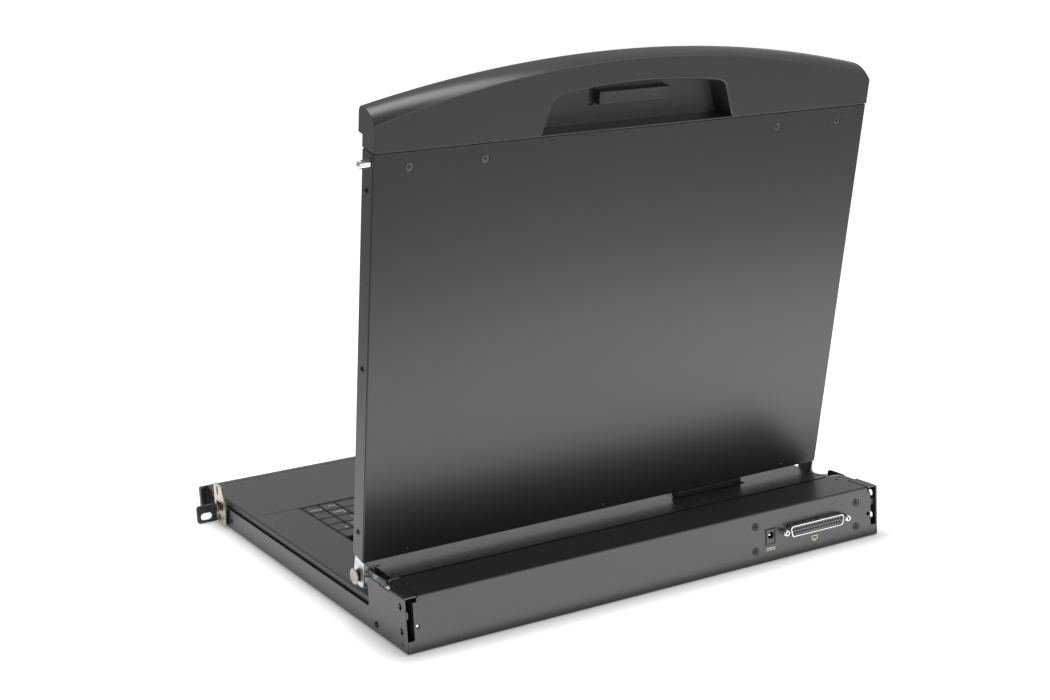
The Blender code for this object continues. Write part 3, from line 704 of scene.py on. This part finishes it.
def build_port():
    flange = rounded((PORT_X - 34.7, PORT_Z - 6.2), (PORT_X + 34.7, PORT_Z + 6.2), 1.6, 5)
    ring = loft([[(x, y, z) for x, z in d_outline(width, height)] for y, width, height in
                 ((-2.0, 57.0, 11.4), (-1.6, 56.0, 10.2), (-1.0, 55.2, 9.4), (5.8, 55.0, 9.2),
                  (6.15, 54.9, 9.1), (6.3, 54.7, 8.9))])
    target = as_object("port_shell_formed", prism("Y", flange, -2.3, -1.5))
    fuse(target, ring)
    cut(target, prism("Y", d_outline(53.9, 8.1), -4, 8))
    cut(target, *[turned("Y", (x, PORT_Z), [(-4, 1.6), (0, 1.6)], 16) for x in PORT_SCREWS])
    finished(target, nickel, "chassis", 0.05, 2, ("rear_port_shell",))
    holes = [(PORT_X + CONTACT_PITCH * (i - 9), PORT_Z + CONTACT_ROW) for i in range(19)]
    holes += [(PORT_X + CONTACT_PITCH * (i - 8.5), PORT_Z - CONTACT_ROW) for i in range(18)]
    insert = as_object("port_insert_drilled", prism("Y", d_outline(53.6, 7.8), -5, 5.5))
    funnel = [(2.6, 0.86), (5.1, 0.86), (5.6, 1.12), (6.1, 1.2)]
    cut(insert, joined([turned("Y", hole, funnel, 12) for hole in holes]))
    finished(insert, dark_insert, "chassis", 0.0, 0, ("rear_port_insert",))
    for x, letter in zip(PORT_SCREWS, "ab"):
        centre = (x, PORT_Z)
        target = as_object(f"jackscrew_turned_{letter}", prism("Y", hexagon(centre, 2.75, 30), 0.3, 5.6))
        fuse(target, turned("Y", centre, [(5.2, 2.3), (7.0, 2.25), (7.3, 2.0), (7.4, 1.8)], 32))
        cut(target, turned("Y", centre, [(3, 0.95), (6.6, 1.0), (7.6, 1.6)], 24))
        finished(target, nickel, "chassis", 0.05, 2, (f"rear_port_jackscrew_{letter}",))


def build_panel_signs():
    """Printed pictograms: direct current under the inlet, a screen under the port."""
    y = (0.01, 0.05)
    x = JACK_X
    marks = [box((x - 4.4, x + 4.4), y, (11.1, 11.7))]
    marks += [box((x + 3.2 * i - 1.1, x + 3.2 * i + 1.1), y, (9.5, 10.1)) for i in (-1, 0, 1)]
    piece("inlet_sign", joined(marks), print_yellow, "chassis")
    x = PORT_X - 1.4
    marks = [box((x - 2.9, x + 2.9), y, (12.2, 12.7)), box((x - 2.9, x + 2.9), y, (9.4, 9.9)),
             box((x - 2.9, x - 2.4), y, (9.9, 12.2)), box((x + 2.4, x + 2.9), y, (9.9, 12.2)),
             box((x - 1.6, x + 1.6), y, (8.3, 8.8)), box((x - 0.3, x + 0.3), y, (8.8, 9.4))]
    piece("port_sign", joined(marks), print_yellow, "chassis")


def build_front_fittings():
    for side, name in SIDE_NAMES:
        bracket = [(-395.8, 2.6), (-370.5, 2.6), (-367.6, 21.7), (-374.6, 37.0), (-377.0, 38.4),
                   (-391.5, 38.4), (-394.6, 36.0)]
        plate = span(side, 222.8, 224.0)
        through = (plate[0] - 1, plate[1] + 1)
        cuts = [prism("X", rounded((-387.4, 27.4), (-383.6, 36.2), 1.6, 5), *through),
                prism("X", rounded((-390.5, 14.6), (-373.4, 22.4), 1.0, 4), *through),
                turned("X", (-384.5, 8.4), [(through[0], 2.5), (through[1], 2.5)], 32)]
        piece(f"front_bracket_{name}_plated", prism("X", bracket, *plate), bracket_zinc, "chassis",
              (f"front_bracket_{name}",), edge=0.28, cuts=cuts)
        softened(f"rack_ear_{name}", edge=0.45, segments=3)


def build_slides():
    for _, name in SIDE_NAMES:
        for member in ("outer", "middle", "inner"):
            softened(f"slide_{member}_{name}", edge=0.2)


# ---- tray

def build_tray():
    softened("tray_pan", edge=0.3)
    fold = arc((216.7, DECK_TOP - 1.8), 1.8, 0, 90, 7)
    inside = arc((216.7, DECK_TOP - 1.8), 0.8, 90, 0, 4)
    half = [(218.5, 19.0)] + fold
    back = inside + [(217.5, 19.0)]
    outline = half + mirrored(half) + mirrored(back) + back
    target = as_object("deck_folded", prism("Y", outline, -426.7, -66))
    cut(target, prism("Z", rounded((-177.5, -311), (177.5, -180), 2.4, 5), 20, 26),
        prism("Z", rounded((-37, -409), (37, -353), 2.4, 5), 20, 26),
        prism("Z", rounded((-37, -350), (37, -335), 0.8, 3), 20, 26),
        *[box(span(side, 177, 209), (-311.6, -310.6), (23.6, 25)) for side in SIDES])
    finished(target, deck_steel, "tray", 0.22, 3, ("keyboard_deck",))
    for side, name in SIDE_NAMES:
        dome_screw(f"deck_screw_{name}", "Z", (side * 212.5, -86.5), DECK_TOP, 1, "tray", 1.6, 0.9,
                   brass_zinc)
        rivet(f"deck_rivet_{name}", "Z", (side * 213.2, -77.5), DECK_TOP, 1, "tray", 0.9, 0.5, brass_zinc)
    rim = prism("Z", rounded((-177.1, -310.6), (177.1, -180.4), 2.1, 5), 16.0, 23.9)
    inside = prism("Z", rounded((-175.3, -308.4), (174.3, -189.8), 1.0, 4), 15.0, 25.0)
    softened("keyboard_base", edge=0.4)
    piece("keyboard_frame", rim, key_black, "tray", edge=0.3, cuts=[inside])
    softened("touchpad", edge=0.25, segments=3)
    for _, name in SIDE_NAMES:
        softened(f"touchpad_button_{name}", edge=0.2, segments=3)


def build_hinge_cover():
    """Cover behind the keyboard: a folded channel with a cable way and a flat lip along each side."""
    front = [(-101.5, 24.8)] + arc((-100.1, 40.8), 1.4, 180, 90, 6)
    front += [(COVER_REAR, COVER_TOP), (COVER_REAR, COVER_UNDER)]
    inner = [(-99.9, COVER_UNDER), (-100.6, 40.6), (-100.6, 24.8)]
    target = as_object("hinge_cover_folded", prism("X", front + inner, -COVER_HALF, COVER_HALF))
    for side in SIDES:
        rim = sided(side, [(203.0, -98), (206.3, -96), (206.3, COVER_REAR - 1), (203.0, COVER_REAR)])
        fuse(target, box(span(side, 202.6, COVER_HALF), (-101.2, COVER_REAR - 0.6), (24.8, 41.9)),
             prism("Z", rim, COVER_UNDER, COVER_TOP))
    cut(target, prism("Z", rounded((-141.5, -115), (-68.5, -76.2), 2.0, 4), 33, 45))
    for side in SIDES:
        for x, y in COVER_SCREWS:
            cut(target, turned("Z", (side * x, y), [(39, 1.2), (41.4, 1.2), (42.3, 1.9), (44, 2.4)], 24))
    finished(target, cover_steel, "tray", 0.2, 3, ("hinge_cover",))
    for side, name in SIDE_NAMES:
        for i, (x, y) in enumerate(COVER_SCREWS):
            flat_screw(f"cover_screw_{name}_{i + 1}", "Z", (side * x, y), COVER_TOP, 1, "tray", 1.8)


def build_front_bezel():
    softened("tray_front_bezel", edge=0.9, segments=4)
    for side, name in SIDE_NAMES:
        pad = ballooned(box(span(side, 196, 206), (-427.0, -426.0), (6, 12)), 0.3, 2)
        piece(f"bezel_clip_{name}", pad, black_plastic, "tray")


# ---- keyboard

def run(start, widths, names):
    keys = []
    for width, name in zip(widths, names):
        keys.append((start, width, name))
        start += width
    return keys


def key_rows():
    """(bar, [(row, [(left edge, width, legend)])]) in key units."""
    pad = NUMBER_PAD
    edit = EDIT_BLOCK
    return [
        ("keys_bottom_left", [(0, run(0, [1.25] * 3, ["Ctrl", "", "Alt"]))]),
        ("keys_space", [(0, run(3.75, [6.25], [""]))]),
        ("keys_bottom_right", [(0, run(10, [1.25] * 4, ["Alt", "", "", "Ctrl"]))]),
        ("keys_shift_row", [(1, run(0, [2.25, *[1] * 10, 2.75], ["Shift", *"ZXCVBNM,./", "Shift"]))]),
        ("keys_home_row", [(2, run(0, [1.75, *[1] * 11, 2.25], ["Caps", *"ASDFGHJKL;'", "Enter"]))]),
        ("keys_upper_row", [(3, run(0, [1.5, *[1] * 12, 1.5], ["Tab", *"QWERTYUIOP[]", "\\"]))]),
        ("keys_number_row", [(4, run(0, [*[1] * 13, 2], [*"`1234567890-=", "<-"]))]),
        ("keys_function_row", [(5.25, run(0, [1, 1.0, *[1.083] * 12],
                                          ["Esc", "", *[f"F{i + 1}" for i in range(12)]]))]),
        ("keys_arrows", [(0, run(edit, [1] * 3, ["<", "v", ">"])), (1, run(edit + 1, [1], ["^"]))]),
        ("keys_edit_block", [(3, run(edit, [1] * 3, ["Delete", "End", "Page\nDown"])),
                             (4, run(edit, [1] * 3, ["Insert", "Home", "Page\nUp"]))]),
        ("keys_pad_front", [(0, run(pad, [2, 1, 1], ["0\nIns", ".\nDel", "Enter"])),
                            (1, run(pad, [1] * 4, ["1\nEnd", "2\nv", "3\nPgDn", ""]))]),
        ("keys_pad_rear", [(2, run(pad, [1] * 4, ["4\n<", "5", "6\n>", ""])),
                           (3, run(pad, [1] * 4, ["7\nHome", "8\n^", "9\nPgUp", "+"])),
                           (4, run(pad, [1] * 4, ["Num\nLock", "/", "*", "-"]))]),
    ]


def key_place(row, left, width):
    x = (KEYS_LEFT + left * KEY_UNIT, KEYS_LEFT + (left + width) * KEY_UNIT - KEY_GAP)
    y = (KEYS_FRONT + row * KEY_ROW, KEYS_FRONT + (row + 1) * KEY_ROW - KEY_GAP)
    if row > 5:
        y = (y[0], y[1] - 3.4)
    return x, y


def key_cap(row, left, width):
    """Moulded cap with round corners, tapered sides and a slightly dished top."""
    x, y = key_place(row, left, width)
    sections = []
    for inset, z, corner in ((0.0, 20.4, 0.9), (-0.1, 21.2, 1.0), (0.0, 22.9, 1.1), (0.3, 23.7, 1.2),
                             (0.6, 24.05, 1.4), (1.0, KEY_TOP, 1.5), (1.7, 24.18, 1.5), (3.6, 24.08, 1.5)):
        outline = rounded((x[0] + inset, y[0] + inset), (x[1] - inset, y[1] - inset), corner, 4)
        sections.append([(a, b, z) for a, b in outline])
    return loft(sections)


def letters(text, size):
    """The outline of a short text as a thin mesh that starts at the origin."""
    curve = bpy.data.curves.new("letters", "FONT")
    curve.body = text
    curve.size = size
    curve.extrude = 0.02
    curve.offset = 0.025
    curve.resolution_u = 3
    holder = linked("letters", curve)
    shape = evaluated_mesh(holder)
    made = bmesh.new()
    made.from_mesh(shape)
    bpy.data.objects.remove(holder)
    bpy.data.curves.remove(curve)
    bpy.data.meshes.remove(shape)
    return made


def build_keyboard():
    for bar, rows in key_rows():
        caps = []
        signs = []
        for row, keys in rows:
            for left, width, legend in keys:
                caps.append(key_cap(row, left, width))
                if legend:
                    x, y = key_place(row, left, width)
                    sign = letters(legend, 7.0 if len(legend) == 1 else 4.8)
                    down = 7.6 if row < 5 else 7.0
                    bmesh.ops.translate(sign, verts=sign.verts, vec=(x[0] + 1.6, y[1] - down, KEY_TOP))
                    signs.append(sign)
            x = (key_place(row, keys[0][0], 1)[0][0] + 2, key_place(row, keys[-1][0], keys[-1][1])[0][1] - 2)
            y = KEYS_FRONT + row * KEY_ROW + 4
            caps.append(box(x, (y, y + 8), (20.5, 21.4)))
        piece(f"{bar}_caps", joined(caps), key_black, bar, (bar,))
        if signs:
            piece(f"{bar}_legends", joined(signs), print_white, bar)


# ---- hinges

def build_hinges():
    centre = (PIVOT_Y, PIVOT_Z)
    for side, name in SIDE_NAMES:
        # The left side gets the darker zinc copy, which is painted shade.
        plating = zinc if side > 0 else zinc_with_painted_shade
        softened(f"hinge_base_{name}", plating, edge=0.25, segments=3)
        softened(f"hinge_arm_{name}", plating, edge=0.3, segments=3)
        ledge = [(210.1, -64.5), (212.6, -66.0), (217.6, -63.0), (217.6, -44.5), (210.1, -44.5)]
        ledge = prism("Z", sided(side, ledge), 38.25, 39.0)
        piece(f"hinge_ledge_{name}", ledge, plating, "tray", edge=0.2)
        profile = [(206.6, 2.6), (206.8, 3.0)]
        profile += [(207.2 + 0.5 * i, 2.96 if i % 2 else 2.62) for i in range(22)]
        profile += [(218.6, 2.9), (219.0, 2.5)]
        bolt = turned("X", centre, sided(side, profile), 28)
        piece(f"hinge_bolt_{name}", bolt, brass_zinc, "tray", (f"hinge_pin_{name}",))
        head = prism("X", hexagon(centre, 4.9), *span(side, 205.5, 208.5))
        piece(f"hinge_bolt_head_{name}", head, brass_zinc, "tray", edge=0.5)
        profile = [(219.3, 5.7), (219.45, 6.15), (219.8, 6.3), (220.5, 6.3), (220.85, 6.1), (221.0, 5.6)]
        disc = turned("X", centre, sided(side, profile), 48)
        recess = turned("X", centre, sided(side, [(220.5, 3.4), (221.5, 3.6)]), 32)
        piece(f"friction_disc_{name}", disc, cream_nylon, "tray", (f"friction_nut_{name}",),
              edge=0.1, segments=2, cuts=[recess])
        nut = prism("X", hexagon(centre, 5.2, 20), *span(side, 217.0, 219.25))
        clear = turned("X", centre, sided(side, [(216, 3.1), (220, 3.1)]), 28)
        piece(f"hinge_nut_{name}", nut, black_zinc, "tray", edge=0.4, cuts=[clear])
        profile = [(216.5, 5.6), (216.6, 5.8), (216.9, 5.8), (217.0, 5.6)]
        washer = turned("X", centre, sided(side, profile), 36)
        clear = turned("X", centre, sided(side, [(216, 3.1), (220, 3.1)]), 28)
        piece(f"hinge_washer_{name}", washer, brass_zinc, "tray", cuts=[clear])


# ---- lid

def build_lid_shell():
    outer = ballooned(box((-LID_HALF, LID_HALF), (-25, 0), (0, LID_LENGTH)), 1.3, 4)
    target = as_object("lid_shell_folded", outer)
    countersink = [(-2, 1.5), (-1.1, 1.6), (-0.55, 3.7), (1, 3.7)]
    cut(target, box((-230, 230), (-40, -17.0), (-10, 340)),
        box((-216.6, 216.6), (-30, -1.2), (1.2, LID_LENGTH - 1.2)),
        *[box(span(side, 214.4, 216.6), (-30, -1.2), (-3, 3)) for side in SIDES],
        turned("X", (PIN_N, PIN_L), [(215, 3.3), (219, 3.3)], 28),
        *[turned("Y", screw, countersink, 28) for screw in LID_SCREWS])
    finished(target, black_steel, "lid", 0.2, 2, ("lid_shell",), LID_AXES)
    for i, screw in enumerate(LID_SCREWS):
        flat_screw(f"lid_screw_{i + 1}", "Y", screw, 0.0, 1, "lid", 3.1, grey_zinc, LID_AXES, 1.65)
    for i, place in enumerate(((180.3, 4.3), (2.3, 4.0), (-179.5, 4.2))):
        rivet(f"lid_bottom_rivet_{i + 1}", "Y", place, 0.0, 1, "lid", 1.4, 0.4, grey_zinc, LID_AXES)
    for side, name in SIDE_NAMES:
        for i, screw in enumerate(LID_SIDE_SCREWS):
            dome_screw(f"lid_side_screw_{name}_{i + 1}", "X", screw, side * LID_HALF, side, "lid", 2.3, 0.8,
                       axes=LID_AXES)


def build_lid_front():
    frame_piece = ballooned(box((-216.3, 216.3), (-18.6, -16.9), (1.6, 320.8)), 0.6, 3)
    target = as_object("lid_bezel_moulded", frame_piece)
    window = []
    for n, grow in ((-16, 0.0), (-17.4, 0.0), (-18.8, 1.4), (-19.5, 2.1)):
        outline = rounded((-170 - grow, 31 - grow), (170 + grow, 302 + grow), 1.5 + grow)
        window.append([(x, n, l) for x, l in outline])
    cut(target, loft(window),
        *[prism("Y", rounded((x - 4.3, 10.7), (x + 4.3, 17.3), 0.8), -20, -16) for x in (-24.0, 0.0, 24.0)])
    finished(target, grey_plastic, "lid", 0.12, 2, ("lid_bezel",), LID_AXES)
    softened("display_panel", edge=0.6)
    softened("display_glass", edge=0.2)
    softened("display_board", edge=0.1)
    for i in range(3):
        softened(f"display_key_{i + 1}", edge=0.35, segments=3)


def handle_section(x, inset):
    """Section of the handle at x: a round front edge, a top that rolls down to the crest, and a flat back."""
    top = 376.8 - 0.00054 * x * x - inset
    crest = 375.5 - 0.00069 * x * x - inset
    back = HANDLE_BACK - inset
    front = HANDLE_FRONT + inset
    points = [(-LID_DEPTH, 322.8 + inset), (-LID_DEPTH, 331.8), (front + 0.4, 331.8 + inset),
              (front, 332.2 + inset)]
    for i in range(9):
        angle = radians(180 - 90 * i / 8)
        points.append((front + HANDLE_ROLL + HANDLE_ROLL * cos(angle),
                       top - HANDLE_ROLL + HANDLE_ROLL * sin(angle)))
    run_back = back - 0.5 - front - HANDLE_ROLL
    for i in range(1, 13):
        share = i / 12
        points.append((front + HANDLE_ROLL + run_back * share, top - (top - crest) * share ** 2.4))
    points += [(back - 0.15, crest - 0.22), (back, crest - 0.7), (back, 323.5 + inset),
               (back - 0.3, 323.0 + inset), (back - 0.9, 322.8 + inset)]
    return [(x, n, l) for n, l in points]


def recess_section(n, grow, rise):
    """Outline of the finger recess: leaning sides, round shoulders and an arched top."""
    half = [(84.0 + grow, 323.9), (81.9 + grow, 330.0), (79.2 + grow, 337.5), (76.5 + grow, 345.2),
            (75.5 + grow, 348.0 + rise), (74.5 + grow, 349.7 + rise), (73.0 + grow, 350.9 + rise),
            (70.8 + grow, 352.1 + rise), (68.0 + grow, 353.0 + rise), (60.0 + grow, 354.1 + rise),
            (50.0, 355.3 + rise), (40.0, 356.2 + rise), (27.0, 357.15 + rise), (14.0, 357.8 + rise)]
    outline = half + [(0.0, 358.0 + rise)] + mirrored(half)
    return [(x, n, l) for x, l in outline]


def build_handle():
    stations = [(-HANDLE_HALF, 0.3), (-HANDLE_HALF + 0.1, 0.1), (-HANDLE_HALF + 0.35, 0.0)]
    stations += [(-210 + 10 * i, 0.0) for i in range(43)]
    stations += [(-x, inset) for x, inset in stations[2::-1]]
    target = as_object("handle_moulded", loft([handle_section(x, inset) for x, inset in stations]))
    sections = [(RECESS_FLOOR, -4.0, -1.2), (RECESS_FLOOR + 0.5, -3.6, -1.1), (-1.2, -0.1, 0.0),
                (-0.5, 0.0, 0.05), (0.1, 0.25, 0.25), (0.6, 0.65, 0.65), (0.98, 1.2, 1.2), (2.5, 2.4, 2.4)]
    cut(target, loft([recess_section(*section) for section in sections]))
    cut(target, box((31.6, 36.2), (RECESS_FLOOR - 1.5, RECESS_FLOOR + 0.6), (337.6, 351.2)))
    flats_merged(target.data, 0.3)
    finished(target, satin_plastic, "lid", 0.0, 0, ("lid_handle",), LID_AXES)


def build_latch():
    bar = ballooned(box((-31, 31), (-16.2, -9.5), (339.0, 349.5)), 1.0, 4)
    scoop = ballooned(box((-26, 26), (-9.75, -8.0), (341.0, 347.5)), 0.7, 3)
    piece("latch_bar_moulded", bar, black_plastic, "latch_bar", ("latch_bar",), LID_AXES,
          0.15, 2, [scoop])
    profile = [(196, 2.6), (196.4, 3.0), (225.0, 3.0), (226.2, 2.7), (227.0, 2.2), (227.5, 1.5),
               (227.75, 0.7)]
    piece("latch_pin_turned", turned("X", (PIN_N, PIN_L), profile, 36), nickel, "latch_pin",
          ("latch_pin",), LID_AXES)
    flange = [(216.8, 4.4), (217.9, 4.4), (218.2, 4.2), (218.3, 3.9)]
    bore = turned("X", (PIN_N, PIN_L), [(216, 3.15), (220, 3.15)], 32)
    piece("latch_bush", turned("X", (PIN_N, PIN_L), flange, 32), black_plastic, "lid", (),
          LID_AXES, 0.1, 2, [bore])


def build_shroud():
    softened("cable_shroud", edge=0.4, segments=3)


# ---- nodes carried over, floor, light and camera

def dress_carried_over():
    softened("interface_board", edge=0.1)


def painted_floor_glow(n):
    """Painted glow on a wedge of the floor that opens from the camera's place, with painted shade: the glow
    is dim under and near the object.
    """
    mapping = n.add("ShaderNodeMapping", vector_type="TEXTURE")
    mapping.inputs["Location"].default_value = (*CAMERA_PLACE[:2], 0.0)
    mapping.inputs["Rotation"].default_value = (0.0, 0.0, -CAMERA_TURN[0])
    n.link(n.where, mapping.inputs["Vector"])
    split = n.add("ShaderNodeSeparateXYZ")
    n.link(mapping.outputs["Vector"], split.inputs["Vector"])
    along = n.calc("MULTIPLY", split.outputs["Y"], -1.0)
    edge = n.calc("MULTIPLY", along, FIELD_WIDENING)
    beside = n.calc("SUBTRACT", n.calc("ABSOLUTE", split.outputs["X"]), edge)
    inside = n.spread(beside, 1.0, 0.0, 0.02, 0.30)
    past = n.spread(along, 0.0, 1.0, 0.90, 1.08)
    spot = n.add("ShaderNodeSeparateXYZ")
    n.link(n.where, spot.inputs["Vector"])
    across = n.calc("SUBTRACT", n.calc("ABSOLUTE", spot.outputs["X"]), HALF_WIDTH * MM)
    across = n.calc("MAXIMUM", across, 0.0)
    ahead = n.calc("SUBTRACT", n.calc("ABSOLUTE", spot.outputs["Y"]), REAR_FACE_Y * MM)
    ahead = n.calc("MAXIMUM", ahead, 0.0)
    squares = n.calc("ADD", n.calc("MULTIPLY", across, across), n.calc("MULTIPLY", ahead, ahead))
    # Painted shadow: the glow drops to a quarter at the object's footprint and under it, and rises to full 21
    # mm away.
    clear = n.spread(n.calc("SQRT", squares), 0.25, 1.0, 0.0, 0.021)
    shape = n.calc("MULTIPLY", n.calc("MULTIPLY", inside, past), clear)
    return n.calc("MULTIPLY", shape, FIELD_GLOW)


def build_stage():
    """Pale seamless floor that rises a little far behind the object."""
    line = [(FLOOR_RISE_START - sin(radians(a)), 1.0 - cos(radians(a)))
            for a in range(60, -1, -10)]
    line.append((FLOOR_REAR, 0.0))
    mesh = bmesh.new()
    rows = [[mesh.verts.new((x, y, z)) for y, z in line] for x in (-FLOOR_HALF, FLOOR_HALF)]
    for i in range(len(line) - 1):
        mesh.faces.new((rows[0][i], rows[1][i], rows[1][i + 1], rows[0][i + 1]))
    floor = as_object("floor", mesh)
    floor.location.z = -FLOOR_DROP
    for face in floor.data.polygons:
        face.use_smooth = True
    n = Nodes("floor_paper")
    cloud = n.spread(n.noise(3.0, 2.0), 0.0, 1.0)
    n.put("Base Color", n.mixed(cloud, (0.87, 0.87, 0.87), (0.89, 0.89, 0.89)))
    n.put("Roughness", 0.8)
    # The emission is painted light: a glow on the floor, with painted shade near the object.
    n.put("Emission Color", (1.0, 1.0, 1.0))
    n.put("Emission Strength", painted_floor_glow(n))
    floor.data.materials.append(n.material)


def area_light(name, place, aim, size, radiance):
    """Rectangular light of the given brightness, seen in reflections but not by the camera."""
    data = bpy.data.lights.new(name, "AREA")
    data.shape = "RECTANGLE"
    data.size, data.size_y = size
    data.energy = radiance * pi * size[0] * size[1]
    light = linked(name, data)
    light.location = place
    light.rotation_euler = (Vector(aim) - Vector(place)).to_track_quat("-Z", "Y").to_euler()
    light.visible_camera = False


def build_light():
    """Dim surroundings, soft boxes, and a bright table behind the object, as glossy black metal needs."""
    world = bpy.data.worlds.new("studio")
    bpy.context.scene.world = world
    world.use_nodes = True
    background = world.node_tree.nodes["Background"]
    background.inputs["Color"].default_value = (1.0, 1.0, 1.0, 1.0)
    background.inputs["Strength"].default_value = WORLD_GLOW
    for light in LIGHTS:
        area_light(*light)


def build_camera():
    azimuth, elevation, roll = CAMERA_TURN
    back = Vector((sin(azimuth) * cos(elevation), cos(azimuth) * cos(elevation),
                   sin(elevation)))
    right = (-back).cross(Vector((0, 0, 1))).normalized()
    up = right.cross(-back)
    across = cos(roll) * right + sin(roll) * up
    rise = -sin(roll) * right + cos(roll) * up
    data = bpy.data.cameras.new("camera")
    data.lens = LENS
    data.sensor_width = 36.0
    data.shift_x, data.shift_y = LENS_SHIFT
    data.clip_start = 0.01
    camera = linked("camera", data)
    turn = Matrix((across, rise, back)).transposed().to_4x4()
    camera.matrix_world = Matrix.Translation(CAMERA_PLACE) @ turn
    bpy.context.scene.camera = camera


build_chassis()
build_housing()
build_power_inlet()
build_port()
build_panel_signs()
build_front_fittings()
build_slides()
build_tray()
build_hinge_cover()
build_front_bezel()
build_keyboard()
build_hinges()
build_lid_shell()
build_lid_front()
build_handle()
build_latch()
build_shroud()
dress_carried_over()
build_stage()
build_light()
build_camera()
bpy.context.scene.view_settings.view_transform = "Standard"
